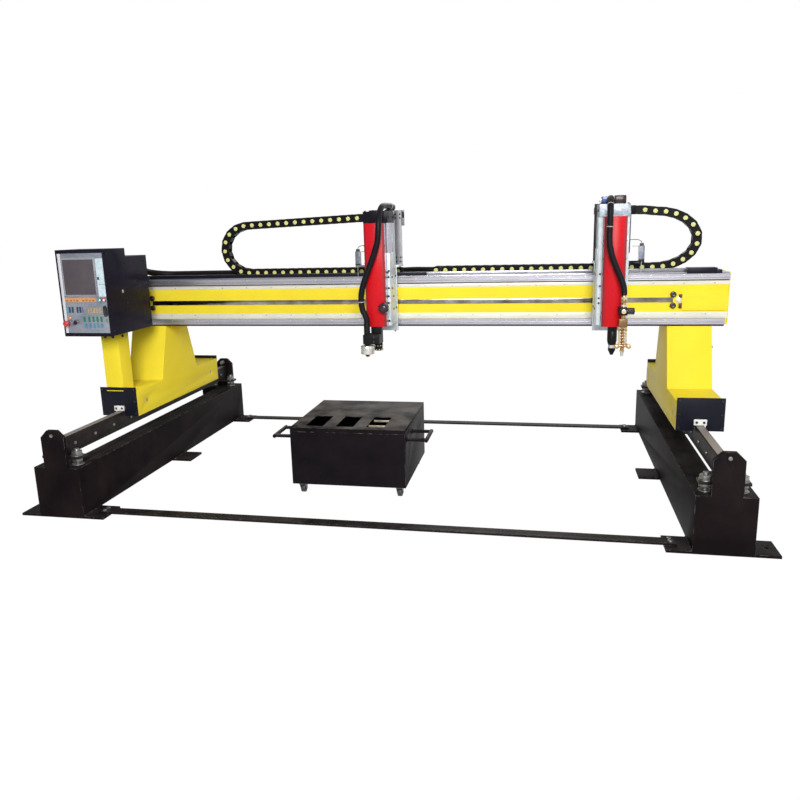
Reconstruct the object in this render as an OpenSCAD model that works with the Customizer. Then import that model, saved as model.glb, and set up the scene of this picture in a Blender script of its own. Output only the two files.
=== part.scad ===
// Gantry plasma cutter: two floor tracks, a rolling gantry with a cross beam,
// a control cabinet on a post, two torch carriages and a small slag cart.
// Millimetres. X runs along the beam, Y along the tracks, Z up from the floor.
// The origin is on the floor, midway between the rails and the track ends.

/* [Track] */
// Distance between the centre lines of the two rails
gauge = 3000; // [2600:50:3600]
// Length of each track
track_len = 1920; // [1800:20:3000]
// Height of the box beam's top face
track_top = 252; // [220:4:320]
// Width of the box beam
track_box_w = 117; // [100:1:140]
// Width of the end blocks
end_block_w = 238; // [220:2:260]
// Length of an end block and of each foot plate
foot_len = 145; // [130:5:180]
// Width of a foot plate
foot_w = 440; // [400:10:520]
// Thickness of a foot plate
foot_t = 12; // [8:1:20]
// Wall of the box beam and end blocks
track_wall = 8; // [6:1:12]

/* [Rail] */
// Width of the rail head
rail_w = 44; // [40:1:60]
// Height of the rail
rail_h = 90; // [70:1:110]
// Gap between the end block and the rail, filled by the levelling screws
rail_lift = 44; // [40:1:60]
// Tooth size (module) of the racks and pinions
gear_module = 3; // [2:0.5:4]
// Teeth on each drive pinion
pinion_teeth = 18; // [17:1:20]

/* [Tie bars] */
// Width of a tie bar
tie_w = 57; // [40:1:80]
// Thickness of a tie bar
tie_t = 10; // [6:1:14]

/* [Slag cart] */
// Outer size of the cart's box along X
cart_w = 590; // [460:10:800]
// Outer size of the cart's box along Y
cart_d = 590; // [460:10:700]
// Height of the box itself
cart_h = 299; // [200:1:340]
// Clear height under the box
cart_clear = 62; // [60:1:90]
// Diameter of a caster wheel
caster_d = 46; // [36:1:46]
// Length of a handle
handle_len = 180; // [120:5:260]

/* [Gantry] */
// Place of the gantry's middle along the tracks
gantry_y = 113.5; // [-100:0.5:200]
// Length of an end carriage
truck_len = 1000; // [900:10:1200]
// Width of an end carriage and leg
truck_w = 215; // [205:1:240]
// Height of the carriage's top face above the rail
truck_over = 114; // [104:2:174]
// How far the carriage hangs down beside the rail
truck_drop = 26; // [20:1:28]
// Wall of the carriage and leg plates
truck_wall = 8; // [6:1:10]
// Diameter of a rail wheel's tread
wheel_d = 84; // [80:2:88]
// Distance between the front and rear wheels
wheel_base = 800; // [700:10:860]

/* [Beam] */
// How far the cross beam runs past the middle of each rail
beam_over = 175; // [150:5:300]
// Depth of the cross beam, front to back
beam_d = 240; // [200:2:300]
// Height of the beam's underside
beam_low = 813; // [780:1:900]
// Height of the beam's section
beam_h = 262; // [240:2:300]
// Wall of the beam
beam_wall = 6; // [4:1:10]
// Height of a guide rail's section
guide_h = 30; // [24:1:34]
// Depth of a guide rail, out from the beam
guide_d = 18; // [16:1:22]

/* [Torch carriages] */
// Place of the left carriage along the beam
left_x = -69; // [-600:1:200]
// Place of the right carriage along the beam
right_x = 1100; // [700:1:1150]
// Width of the left carriage plate
left_plate_w = 140; // [134:1:160]
// Width of the right carriage plate
right_plate_w = 156; // [150:1:170]
// Width of the left lifter housing
left_body_w = 126; // [120:1:130]
// Width of the right lifter housing
right_body_w = 142; // [130:1:146]
// Width of a torch cover
cover_w = 104; // [90:1:108]
// Height of a torch cover
cover_h = 521; // [480:1:560]
// Lower edge of a torch cover
cover_low = 835; // [820:1:860]
// Diameter of a lifting screw
screw_d = 16; // [12:1:20]
// Diameter of a torch hose
hose_d = 30; // [24:1:34]

/* [Drag chains] */
// Width of a chain
chain_w = 50; // [40:1:60]
// Height of a chain link
chain_h = 46; // [40:1:54]
// Half the height between a chain's two runs
chain_r = 145; // [130:1:160]

/* [Control cabinet] */
// Width of the cabinet
cabinet_w = 270; // [240:2:320]
// Depth of the cabinet
cabinet_d = 405; // [360:5:440]
// Height of the cabinet
cabinet_h = 444; // [400:4:520]
// Sheet thickness of the cabinet
cabinet_t = 3; // [2:0.5:4]
// Side of the square post
post_w = 100; // [80:2:120]

/* [Hidden] */
$fn = 48;

// Clearances
run_gap = 0.05;                 // between a shaft and its bore
slide_gap = 0.4;                // between sliding faces

// Track, worked out
rail_x = gauge / 2;
rail_low = track_top + rail_lift;
rail_top = rail_low + rail_h;
stop_t = 20;                    // end stop plate
stop_w = 122;
stop_top = rail_top + 51;
stop_cut = 35;
bumper_len = 30;
rail_len = track_len - 2 * stop_t - 2 * bumper_len / 3;
chair_w = 200;                  // levelling plate under the rail's end
chair_d = 60;
chair_t = 12;
stud_r = 12;
stud_x = 70;
nut_h = 16;

// Gears
pitch = PI * gear_module;
pinion_r = gear_module * pinion_teeth / 2;
backlash = 0.15;
rack_back = 17;                 // from a rack's back to its pitch line
track_rack_h = 30;
track_rack_low = rail_low + 29;
pinion_x = rail_x + rail_w / 2 + rack_back + pinion_r;
pinion_y = pitch * round((gantry_y - 230) / pitch);

// Gantry, worked out (heights are from the floor, Y from the gantry's middle)
axle_r = 12.5;
truck_top = rail_top + truck_over;
truck_low = rail_top - truck_drop;
axle_z = rail_top + wheel_d / 2;
wheel_w = 62;
flange_w = 8;
flange_h = 10;
tread_w = wheel_w - 2 * flange_w;
leg_low_d = 434;
leg_top_d = beam_d - 4;
motor_shelf_z = truck_low + 4;
motor_r = truck_w / 2 - truck_wall - (pinion_x - rail_x) - 4.5;
beam_len = gauge + 2 * beam_over;
beam_top = beam_low + beam_h;
beam_front = -beam_d / 2;
guide_low_z = beam_low + 17;
guide_top_z = beam_top - 21;
guide_low_len = beam_len - 24;
rack_beam_len = beam_len - 110;
band_z = beam_low + 124.5;
band_h = 25;
band_t = 2;
band_x = -24;                   // the band stands a little to the left of the middle
band_len = beam_len - 474;
band_clamp_r = 15;
guard_in = 44;                  // from a clamp's middle to the guard's edge
guard_h = 82;
guard_drop = 11.5;              // the guard's middle lies below the band's
rack_beam_front = beam_front + 8;
rack_beam_h = 20;
beam_pinion_y = rack_beam_front + rack_back + pinion_r;

// Carriages, worked out (X from the carriage's own middle)
block_out = 30;                 // bearing block, out from the beam
block_len = 50;
plate_t = 12;
plate_back = beam_front - block_out;
plate_front = plate_back - plate_t;
plate_low = beam_low - 26;
shelf_z = beam_top + chain_h + 5;
shelf_t = 10;
drive_motor_w = 57;
drive_motor_h = 90;
shaft_in = 28;                  // a motor shaft's length inside its motor
body_front = plate_front - 158; // lifter housing
body_wall = 6;
lip_in = cover_w / 2 + 1;        // half the housing's open front
foot_h = 12;                    // bearing foot at the housing's lower end
cover_top = cover_low + cover_h;
block_h = 58;                   // block on top of a lifter housing
block_front = body_front - 10;
cover_front = body_front - 60;
cover_t = 2;
slide_back = body_front - 2;
slide_t = 8;
bracket_t = 4;
bracket_top = cover_low + 370;
guide_bar_w = 20;               // flat guide inside a housing
guide_bar_d = 16;
screw_y = plate_front - 73;
journal_r = 6;
lift_motor_w = 54;
lift_motor_h = 36;
left_recess = 34;               // how deep a lift motor stands in its block
right_recess = 0;
nut_low = cover_low + 355;
nut_h_lift = 80;
chain_low_z = beam_top + chain_h / 2;
chain_top_z = chain_low_z + 2 * chain_r;
chain_arm_in = 121;             // where a chain ends, from its carriage's middle
upright_x = [38, 78];
shelf_out = upright_x[1] + 4;
upright_top = chain_top_z + chain_h / 2 + 12;
arm_t = 6;
sensor_x = [-168, -140];
strip_in = 60;                  // where the sensor's strip ends inside the shelf
sensor_h = 74;
left_bend_x = -890;              // middle of the bend, and how far the bend reaches beyond it
left_reach = 142;
left_droop = 24;
right_bend_x = 1330;
right_reach = 205;
right_droop = 9;
chain_end = 40;                 // straight length at the moving end
left_fixed_x = -20;
right_fixed_x = 193;
left_body_x = 0;
right_body_x = -3;
left_screw_x = -22;
right_screw_x = 27;

// Torches, worked out (X from the carriage's own middle)
left_torch_x = -43;
left_torch_y = cover_front - 27;
left_torch_r = 16;
left_collar_r = 35;
left_torch_top = cover_low + 25;
right_torch_x = 2;
right_torch_y = cover_front + 26;
right_torch_r = 23;
brass_x = 44;
brass_y = cover_front - 40;
brass_r = 10;
brass_top = cover_low + 156;
valve_x = 27;                   // from the brass torch to each valve
valve_z = cover_low - 84;
clamp_z = cover_low + 81;

// Cabinet, worked out
cabinet_x = -rail_x - 45;
cabinet_front = -640;
cabinet_low = 820;
cabinet_step = 44;
cabinet_step_d = 200;
rim_side = 7;
rim_end = 18;
gland_len = 20;
gland_wall = 8;
post_x = -rail_x - 17;
post_y = -truck_len / 2 + post_w / 2;
post_wall = 5;
panel_t = 3;
panel_lip_t = 2;
panel_front = cabinet_front + 2;
panel_fit = 0.1;
screen = [176, 178];
screen_at = [cabinet_x - 102, cabinet_low + 216];
estop_at = [cabinet_x - 110, cabinet_low + 69];
start_at = [cabinet_x + 93, cabinet_low + 189];
stop_at = [cabinet_x + 116, cabinet_low + 189];
selector_at = [cabinet_x - 66, cabinet_low + 73];
rocker_at = [cabinet_x + 114, cabinet_low + 131];
gland_at = [cabinet_x + 15, cabinet_low + 330];
rocker = [16, 48];
button_hole_r = 6.3;

// Cart, worked out
cart_x = -180;
cart_y = -231;
cart_t = 3;
cart_top = cart_clear + cart_h;
window_w = 92;
window_d = 200;
window_pitch = 158;
window_in = 40;                 // from the cart's front and left edges
caster_in = 40;
caster_r = caster_d / 2;
caster_trail = 16;
caster_plate_t = 8;
caster_pin_r = 4;
fork_t = 3;
handle_r = 10;
handle_out = 110;
handle_y = -165;
handle_z = 300;

// Hose routes: points by hand, in the gantry's own frame
supply_route = [
    [-1530, -235, 1150], [-1530, -190, 1150], [-1530, -140, 1144], [-1530, -84, 1129], [-1519, -27, 1112],
    [-1486, 22, 1101], [-1437, 55, 1095], [-1380, 66, 1093.5], [-1200, 66, 1093.5], [-1000, 66, 1093.5],
    [-800, 66, 1093.5], [-600, 66, 1093.5], [-400, 66, 1093.5], [-200, 66, 1093.5], [-60, 66, 1093.5],
    [-8, 66, 1094], [40, 57, 1096], [90, 29, 1098], [135, 6, 1098], [165, 0, 1098], [191.9, 0, 1098]];
left_route = [
    [-189.1, 0, 1388], [-165, 0, 1388.5], [-119, -9, 1396], [-80, -35, 1410], [-48, -68, 1424],
    [-24, -105, 1433], [-15, -150, 1439], [-16, -195, 1441], [-22, -240, 1441.5], [-29, -290, 1441],
    [-33, -333, 1432], [-35, -372, 1406], [-36, -397, 1367], [-37, -406, 1321], [-43, -407, 1265],
    [-60, -407, 1212], [-83, -407, 1155], [-106, -407, 1098], [-127, -407, 1040], [-137, -407, 985],
    [-133, -407, 932], [-119, -407, 898], [-112, -407, 878], [-112, -407, 860.3]];
right_route = [
    [1220.1, 0, 1388], [1196, 0, 1388.5], [1150, -9, 1396], [1111, -35, 1410], [1085, -74, 1425],
    [1077, -120, 1435], [1079, -180, 1440], [1081, -235, 1441], [1080, -286, 1441], [1076, -332, 1432],
    [1073, -371, 1406], [1071, -397, 1367], [1070, -406, 1321], [1069, -407, 1270], [1073, -408, 1220],
    [1086, -410, 1170], [1106, -413, 1120], [1126, -416, 1075], [1140, -419, 1035], [1144, -420, 1010],
        [1144, -420, 991.9]];
supply_hose_d = 36;
hose_sides = 10;

// A box from its lowest to its highest corner
module box(low, high) {
    translate(low) cube(high - low);
}

// A cylinder along Y
module along_y(r, y0, y1) {
    translate([0, y0, 0]) rotate([-90, 0, 0]) cylinder(r = r, h = y1 - y0);
}

// A cylinder along X
module along_x(r, x0, x1) {
    translate([x0, 0, 0]) rotate([0, 90, 0]) cylinder(r = r, h = x1 - x0);
}

// The same thing on both sides of the machine
module both_sides() {
    children();
    mirror([1, 0, 0]) children();
}

// What follows stands on the gantry
module on_gantry() {
    translate([0, gantry_y, 0]) children();
}

// Directions along a route, and a line that stays square to it without twisting
function unit(v) = v / norm(v);
function tangent(p, i) = unit(p[min(i + 1, len(p) - 1)] - p[max(i - 1, 0)]);
function across(n, t) = unit(n - (n * t) * t);
function normals(p, i, n) =
    i == len(p) ? [] : concat([across(n, tangent(p, i))], normals(p, i + 1, across(n, tangent(p, i))));

// A round tube swept along a route
module hose(p, r) {
    n = normals(p, 0, [1, 0, 0.01]);
    rings = [for (i = [0 : len(p) - 1], k = [0 : hose_sides - 1])
        let (a = 360 * k / hose_sides, b = cross(tangent(p, i), n[i]))
        p[i] + r * (cos(a) * n[i] + sin(a) * b)];
    last = (len(p) - 1) * hose_sides;
    faces = concat(
        [[for (k = [0 : hose_sides - 1]) k]],
        [for (i = [0 : len(p) - 2], k = [0 : hose_sides - 1])
            let (a = i * hose_sides + k, b = i * hose_sides + (k + 1) % hose_sides)
            [a, a + hose_sides, b + hose_sides, b]],
        [[for (k = [hose_sides - 1 : -1 : 0]) last + k]]);
    polyhedron(points = rings, faces = faces, convexity = 6);
}

// Involute gear outline, with a tooth centred on the angle "phase"
function involute(a) = tan(a) * 180 / PI - a;
function half_tooth(q) =
    90 / pinion_teeth - backlash * 90 / (PI * pinion_r)
    + involute(20) - involute(acos(min(1, pinion_r * cos(20) / q)));
function polar(q, a) = [q * cos(a), q * sin(a)];
function gear_points(phase) =
    let (root = pinion_r - 1.2 * gear_module, base = pinion_r * cos(20),
        tip = pinion_r + 0.95 * gear_module)
    let (flank = [for (s = [0 : 4]) base + (tip - base) * s / 4])
    [for (k = [0 : pinion_teeth - 1]) let (c = phase + 360 * k / pinion_teeth)
        each concat(
            [polar(root, c - half_tooth(base))],
            [for (q = flank) polar(q, c - half_tooth(q))],
            [for (s = [4 : -1 : 0]) polar(flank[s], c + half_tooth(flank[s]))],
            [polar(root, c + half_tooth(base))])];

// Rack outline: the back is on the X axis, the teeth point along +Y and one is centred on X = 0
module rack_outline(length) {
    count = floor(length / pitch / 2 - 0.5);
    tip_y = rack_back + 0.95 * gear_module;
    root_y = rack_back - 1.2 * gear_module;
    tip_half = pitch / 4 - backlash / 2 - 0.95 * gear_module * tan(20);
    root_half = pitch / 4 - backlash / 2 + 1.2 * gear_module * tan(20);
    teeth = [for (k = [-count : count])
        each [[k * pitch - root_half, root_y], [k * pitch - tip_half, tip_y],
              [k * pitch + tip_half, tip_y], [k * pitch + root_half, root_y]]];
    polygon(concat([[-length / 2, 0], [-length / 2, root_y]], teeth, [[length / 2, root_y],
        [length / 2, 0]]));
}

// One track of the right-hand side: box beam, two end blocks, three foot plates and two end stops
module track() {
    inner = rail_x - end_block_w / 2;
    outer = rail_x + end_block_w / 2;
    half = track_len / 2;
    difference() {
        union() {
            box([inner, -half, foot_t], [inner + track_box_w, half, track_top]);
            for (m = [0, 1]) mirror([0, m, 0]) {
                box([inner, -half, foot_t], [outer, -half + foot_len, track_top]);
                box([rail_x - foot_w / 2, -half, 0], [rail_x + foot_w / 2, -half + foot_len, foot_t]);
                end_stop(-half);
            }
            box([rail_x - foot_w / 2, -foot_len / 2, 0], [rail_x + foot_w / 2, foot_len / 2, foot_t]);
        }
        box([inner + track_wall, -half + track_wall, foot_t + track_wall],
            [inner + track_box_w - track_wall, half - track_wall, track_top - track_wall]);
        for (m = [0, 1]) mirror([0, m, 0]) {
            box([inner + track_wall, -half + track_wall, foot_t + track_wall],
                [outer - track_wall, -half + foot_len - track_wall, track_top - track_wall]);
            // drain holes in the beam's underside
            translate([inner + track_box_w / 2, half / 2, foot_t - 1]) cylinder(r = 15,
                h = track_wall + 2);
            // holes for the levelling studs and for the floor bolts
            for (x = [-stud_x, stud_x])
                translate([rail_x + x, -half + foot_len / 2, track_top - track_wall - 1])
                    cylinder(r = stud_r + run_gap, h = track_wall + 2);
            for (y = [-half + foot_len / 2, 0])
                translate([rail_x + foot_w / 2 - 40, y, -1]) cylinder(r = 9, h = foot_t + 2);
            for (y = [-1, 1])
                translate([rail_x - foot_w / 2 + 25, -half + foot_len / 2 + y * tie_w / 4, -1])
                    cylinder(r = 6 + run_gap, h = foot_t + 2);
        }
    }
}

// End stop plate, with its upper corners cut off and a bumper screw hole
module end_stop(y) {
    difference() {
        translate([rail_x, y + stop_t, 0]) rotate([90, 0, 0]) linear_extrude(stop_t)
            polygon([[-stop_w / 2, track_top - 1], [stop_w / 2, track_top - 1],
                     [stop_w / 2, stop_top - stop_cut], [stop_w / 2 - stop_cut, stop_top],
                     [-stop_w / 2 + stop_cut, stop_top], [-stop_w / 2, stop_top - stop_cut]]);
        translate([rail_x, y, stop_top - 25]) along_y(8 + run_gap, -1, stop_t + 1);
    }
}

module track_right() { color([0.07, 0.06, 0.07]) track(); }
module track_left() { color([0.07, 0.06, 0.07]) mirror([1, 0, 0]) track(); }

// Two square rails with chamfered heads, each on a levelling plate at both ends
module track_rails() {
    cut = 4;
    color([0.25, 0.21, 0.2]) both_sides() {
        difference() {
            union() {
                translate([rail_x, rail_len / 2, 0]) rotate([90, 0, 0]) linear_extrude(rail_len)
                    polygon([[-rail_w / 2, rail_low], [rail_w / 2, rail_low],
                             [rail_w / 2, rail_top - cut], [rail_w / 2 - cut, rail_top],
                             [-rail_w / 2 + cut, rail_top], [-rail_w / 2, rail_top - cut]]);
                for (m = [0, 1]) mirror([0, m, 0])
                    translate([rail_x - chair_w / 2, -track_len / 2 + (foot_len - chair_d) / 2,
                        rail_low - chair_t])
                        cube([chair_w, chair_d, chair_t]);
            }
            for (m = [0, 1], x = [-stud_x, stud_x]) mirror([0, m, 0])
                translate([rail_x + x, -track_len / 2 + foot_len / 2, rail_low - chair_t - 1])
                    cylinder(r = stud_r + 0.5, h = chair_t + 2);
        }
    }
}

// Toothed racks on the outer sides of the rails
module gear_racks() {
    color("dimgray") both_sides()
        translate([rail_x + rail_w / 2, 0, track_rack_low]) linear_extrude(track_rack_h)
            mirror([1, -1, 0]) rack_outline(rail_len - 10);
}

// Two flat bars on the floor that hold the tracks at their distance
module tie_bars() {
    end_x = rail_x - foot_w / 2 + 50;
    color([0.08, 0.08, 0.09]) for (m = [0, 1]) mirror([0, m, 0]) difference() {
        box([-end_x, -track_len / 2 + (foot_len - tie_w) / 2, foot_t],
            [end_x, -track_len / 2 + (foot_len + tie_w) / 2, foot_t + tie_t]);
        for (x = [-1, 1], y = [-1, 1])
            translate([x * (rail_x - foot_w / 2 + 25), -track_len / 2 + foot_len / 2 + y * tie_w / 4, 0])
                cylinder(r = 6 + run_gap, h = foot_t + tie_t + 1);
    }
}

// Levelling studs with their nuts, rack screws, tie-bar bolts and bumper screws
module track_bolts() {
    hex_r = 26;
    color("silver") both_sides() for (m = [0, 1]) mirror([0, m, 0]) {
        y = -track_len / 2 + foot_len / 2;
        for (x = [-stud_x, stud_x]) translate([rail_x + x, y, 0]) {
            translate([0, 0, track_top - track_wall]) cylinder(r = stud_r,
                h = rail_lift + track_wall + 34);
            translate([0, 0, rail_low - chair_t - nut_h]) cylinder(r = hex_r, h = nut_h, $fn = 6);
            translate([0, 0, rail_low]) cylinder(r = hex_r, h = nut_h + 6, $fn = 6);
        }
        for (yy = [-1, 1]) translate([rail_x - foot_w / 2 + 25, y + yy * tie_w / 4, 0]) {
            translate([0, 0, 1]) cylinder(r = 6, h = foot_t + tie_t + 4);
            translate([0, 0, foot_t + tie_t]) cylinder(r = 11, h = 8, $fn = 6);
        }
        translate([rail_x, -track_len / 2, stop_top - 25]) {
            along_y(8, -6, stop_t + bumper_len / 2);
            along_y(13, stop_t, stop_t + bumper_len);
        }
    }
    color("silver") both_sides() for (k = [-5 : 5])
        translate([rail_x - rail_w / 2, k * 166, track_rack_low + track_rack_h / 2]) along_x(8, -6, 0);
}

// Welded sheet box on four casters, with three windows in its top and a tube handle at each end
module slag_cart() {
    low = [cart_x - cart_w / 2, cart_y - cart_d / 2, cart_clear];
    high = [cart_x + cart_w / 2, cart_y + cart_d / 2, cart_top];
    color([0.06, 0.05, 0.06]) {
        difference() {
            union() {
                box(low, high);
                for (m = [0, 1]) translate([cart_x, cart_y + handle_y, 0]) mirror([m, 0, 0]) cart_handle();
            }
            box(low + [cart_t, cart_t, cart_t], high - [cart_t, cart_t, cart_t]);
            for (k = [0 : 2])
                translate([low[0] + window_in + 30 + k * window_pitch, low[1] + window_in,
                    cart_top - cart_t - 1])
                    cube([window_w, window_d, cart_t + 2]);
        }
    }
}

// One handle of the cart, in the cart's own frame
module cart_handle() {
    x = cart_w / 2;
    for (y = [-1, 1])
        translate([0, y * (handle_len / 2 - handle_r - 3), handle_z])
            along_x(handle_r - 1, x - cart_t / 2, x + handle_out - handle_r);
    translate([x + handle_out - handle_r, 0, handle_z]) along_y(handle_r, -handle_len / 2, handle_len / 2);
}

// Where a caster's swivel stands: sx is -1 on the left, sy is -1 at the front
function caster_at(sx, sy) =
    [cart_x + sx * (cart_w / 2 - caster_in), cart_y + sy * (cart_d / 2 - caster_in), 0];

// Swivel fork: a race under the box, a crown, two cheeks and the wheel's pin
module caster_fork(sx, sy) {
    crown_z = caster_d + 3;
    race_z = cart_clear - caster_plate_t;
    cheek_x = 14.5;
    color("silver") translate(caster_at(sx, sy)) {
        translate([0, 0, race_z]) cylinder(r = 22, h = caster_plate_t - 0.3);
        translate([-16, -14, crown_z]) cube([32, 28 + caster_trail, race_z - crown_z]);
        for (x = [-1, 1]) translate([x * cheek_x - fork_t / 2, caster_trail, 0]) hull() {
            translate([0, 0, caster_r]) along_x(9, 0, fork_t);
            translate([0, -caster_trail - 10, crown_z]) cube([fork_t, 38, 4]);
        }
        translate([0, caster_trail, caster_r]) along_x(caster_pin_r, -cheek_x - 3, cheek_x + 3);
    }
}

// Caster wheel with its bore on the fork's pin
module caster_wheel(sx, sy) {
    color([0.5, 0.5, 0.5]) translate(caster_at(sx, sy) + [0, caster_trail, caster_r]) difference() {
        along_x(caster_r, -11, 11);
        along_x(caster_pin_r + run_gap, -12, 12);
    }
}

// Inverted-U carriage with a hollow trapezoid leg, right-hand side
module end_carriage() {
    half = truck_w / 2;
    inner = half - truck_wall;
    leg_in = truck_wall * 1.1;
    color([0.97, 0.86, 0.12]) difference() {
        union() {
            translate([rail_x, 0, 0]) box([-half, -truck_len / 2, truck_low], [half, truck_len / 2,
                truck_top]);
            translate([rail_x - half, 0, 0]) rotate([90, 0, 90]) linear_extrude(truck_w)
                polygon([[-leg_low_d / 2, truck_top - 1], [leg_low_d / 2, truck_top - 1],
                         [leg_top_d / 2, beam_low], [-leg_top_d / 2, beam_low]]);
        }
        translate([rail_x, 0, 0])
            box([-inner, -truck_len / 2 - 1, truck_low - 1], [inner, truck_len / 2 + 1,
                truck_top - truck_wall]);
        translate([rail_x - inner, 0, 0]) rotate([90, 0, 90]) linear_extrude(2 * inner)
            polygon([[-leg_low_d / 2 + leg_in, truck_top - truck_wall - 1],
                     [leg_low_d / 2 - leg_in, truck_top - truck_wall - 1],
                     [leg_top_d / 2 - leg_in, beam_low - truck_wall],
                     [-leg_top_d / 2 + leg_in, beam_low - truck_wall]]);
        for (y = [-wheel_base / 2, wheel_base / 2])
            translate([rail_x, y, axle_z]) along_x(axle_r + run_gap, -half - 1, half + 1);
    }
    // shelf that carries the drive motor
    shelf_in = rail_x + rail_w / 2 + 6;
    color([0.97, 0.86, 0.12]) difference() {
        box([shelf_in, pinion_y - gantry_y - 60, motor_shelf_z],
            [rail_x + inner, pinion_y - gantry_y + 60, motor_shelf_z + 8]);
        translate([pinion_x, pinion_y - gantry_y, motor_shelf_z - 1]) cylinder(r = 10, h = 10);
    }
}

module end_carriage_right() { on_gantry() end_carriage(); }

// The left carriage is the mirror image, with the cabinet's post welded on
module end_carriage_left() {
    on_gantry() {
        mirror([1, 0, 0]) end_carriage();
        color([0.97, 0.86, 0.12]) difference() {
            box([post_x - post_w / 2, post_y - post_w / 2, truck_top], [post_x + post_w / 2,
                post_y + post_w / 2, cabinet_low]);
            box([post_x - post_w / 2 + post_wall, post_y - post_w / 2 + post_wall, truck_top],
                [post_x + post_w / 2 - post_wall, post_y + post_w / 2 - post_wall,
                    cabinet_low - post_wall]);
            translate([post_x, post_y + post_w / 2, truck_top + 30]) along_y(12, -post_wall - 1, 1);
        }
    }
}

// Black covers over the open ends of both carriages, cut out round the rail and its rack
module carriage_covers() {
    top = truck_top + 20;
    color([0.1, 0.1, 0.12]) on_gantry() both_sides() for (m = [0, 1]) mirror([0, m, 0]) difference() {
        box([rail_x - truck_w / 2, -truck_len / 2 - 3, truck_low], [rail_x + truck_w / 2,
            -truck_len / 2, top]);
        box([rail_x - rail_w / 2 - 4, -truck_len / 2 - 4, truck_low - 1],
            [rail_x + rail_w / 2 + 4, -truck_len / 2 + 1, rail_top + 2]);
    }
}

// Grooved rail wheel and its axle, one forging; sx is -1 on the left, sy is -1 at the front
module rail_wheel(sx, sy) {
    r = wheel_d / 2;
    color("gray") on_gantry() translate([sx * rail_x, sy * wheel_base / 2, axle_z]) rotate([0, 90, 0])
        rotate_extrude()
            polygon([[0, -truck_w / 2 + 2], [axle_r, -truck_w / 2 + 2], [axle_r, -wheel_w / 2 - 6],
                     [24, -wheel_w / 2 - 6], [24, -wheel_w / 2], [r + flange_h, -wheel_w / 2],
                     [r + flange_h, -tread_w / 2 - 2], [r, -tread_w / 2], [r, tread_w / 2],
                     [r + flange_h, tread_w / 2 + 2], [r + flange_h, wheel_w / 2], [24, wheel_w / 2],
                     [24, wheel_w / 2 + 6], [axle_r, wheel_w / 2 + 6], [axle_r, truck_w / 2 - 2], [0,
                         truck_w / 2 - 2]]);
}

// Geared motors that stand on the carriages' shelves
module gantry_motors() {
    z = motor_shelf_z + 8;
    color([0.15, 0.15, 0.17]) on_gantry() both_sides()
        translate([pinion_x, pinion_y - gantry_y, z]) difference() {
            union() {
                cylinder(r = motor_r, h = truck_top - truck_wall - z - 4);
                translate([-motor_r, -motor_r, 0]) cube([2 * motor_r, 2 * motor_r, 8]);
            }
            translate([0, 0, -1]) cylinder(r = 7 + run_gap, h = 31);
        }
}

// Pinion with its shaft; the teeth stand in the rack's gaps at rest
module drive_pinion() {
    color("darkgray") translate([pinion_x, pinion_y, 0]) {
        translate([0, 0,
            track_rack_low + 3]) linear_extrude(track_rack_h - 6)
                polygon(gear_points(180 - 180 / pinion_teeth));
        translate([0, 0, track_rack_low + track_rack_h - 4]) cylinder(r = 7,
            h = motor_shelf_z + 34 - track_rack_low - track_rack_h);
    }
}

module drive_pinion_right() { drive_pinion(); }
module drive_pinion_left() { mirror([1, 0, 0]) drive_pinion(); }

// Hollow box beam
module cross_beam() {
    half = beam_d / 2;
    color([0.98, 0.88, 0.15]) on_gantry() difference() {
        box([-beam_len / 2, -half, beam_low], [beam_len / 2, half, beam_top]);
        box([-beam_len / 2 - 1, -half + beam_wall, beam_low + beam_wall],
            [beam_len / 2 + 1, half - beam_wall, beam_top - beam_wall]);
    }
}

// Section of a guide rail, out from the beam along X, grooved on both sides; grow widens it for a block
function guide_points(grow) =
    let (h = guide_h / 2 + grow, b = grow > 0 ? 1 : 0)
    [[-b, -h], [5, -h], [9, -h + 4], [13, -h], [guide_d + grow, -h],
     [guide_d + grow, h], [13, h], [9, h - 4], [5, h], [-b, h]];

// Lays a section along the beam's front: X of the section points forward, Y of it points up
module along_beam(x0, x1) {
    translate([x1, beam_front, 0]) rotate([90, 0, -90]) linear_extrude(x1 - x0) children();
}

// Two guide rails on the beam's front
module guide_rails() {
    color("silver") on_gantry() {
        translate([0, 0, guide_low_z]) along_beam(-guide_low_len / 2,
            guide_low_len / 2) polygon(guide_points(0));
        translate([0, 0, guide_top_z]) along_beam(-beam_len / 2, beam_len / 2) polygon(guide_points(0));
    }
}

// Rack on the beam's top, behind its front edge, with the teeth to the rear
module beam_rack() {
    color("gray") on_gantry() translate([0, rack_beam_front, beam_top]) linear_extrude(rack_beam_h)
        rack_outline(rack_beam_len);
}

// Steel band along the beam's front, held at each end between two round clamps
module steel_band() {
    color("silver") on_gantry() translate([band_x, beam_front, band_z]) {
        box([-band_len / 2, -band_t, -band_h / 2], [band_len / 2, 0, band_h / 2]);
        for (x = [-1, 1], z = [-1, 1])
            translate([x * band_len / 2, 0,
                z * (band_h / 2 + band_clamp_r + 0.5)]) along_y(band_clamp_r, -14, 0);
    }
}

// Raised yellow guards beyond the band's ends, and plates that close the beam
module beam_end_covers() {
    corner = guard_h / 4;
    color([0.98, 0.88, 0.15]) on_gantry() for (s = [-1, 1]) {
        guard_w = beam_len / 2 - s * band_x - band_len / 2 - guard_in;
        translate([s * (beam_len / 2 - guard_w), beam_front,
            band_z - guard_drop - guard_h / 2]) mirror([s < 0 ? 1 : 0, 0, 0])
            rotate([90, 0, 0]) linear_extrude(8) union() {
                square([guard_w - corner, guard_h]);
                translate([guard_w - corner, corner]) circle(r = corner);
                translate([guard_w - corner, guard_h - corner]) circle(r = corner);
                translate([guard_w - corner, corner]) square([corner, guard_h - 2 * corner]);
            }
        mirror([s < 0 ? 1 : 0, 0, 0])
            box([beam_len / 2, -beam_d / 2, beam_low + 2], [beam_len / 2 + 4, beam_d / 2, beam_top - 2]);
    }
}

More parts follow.
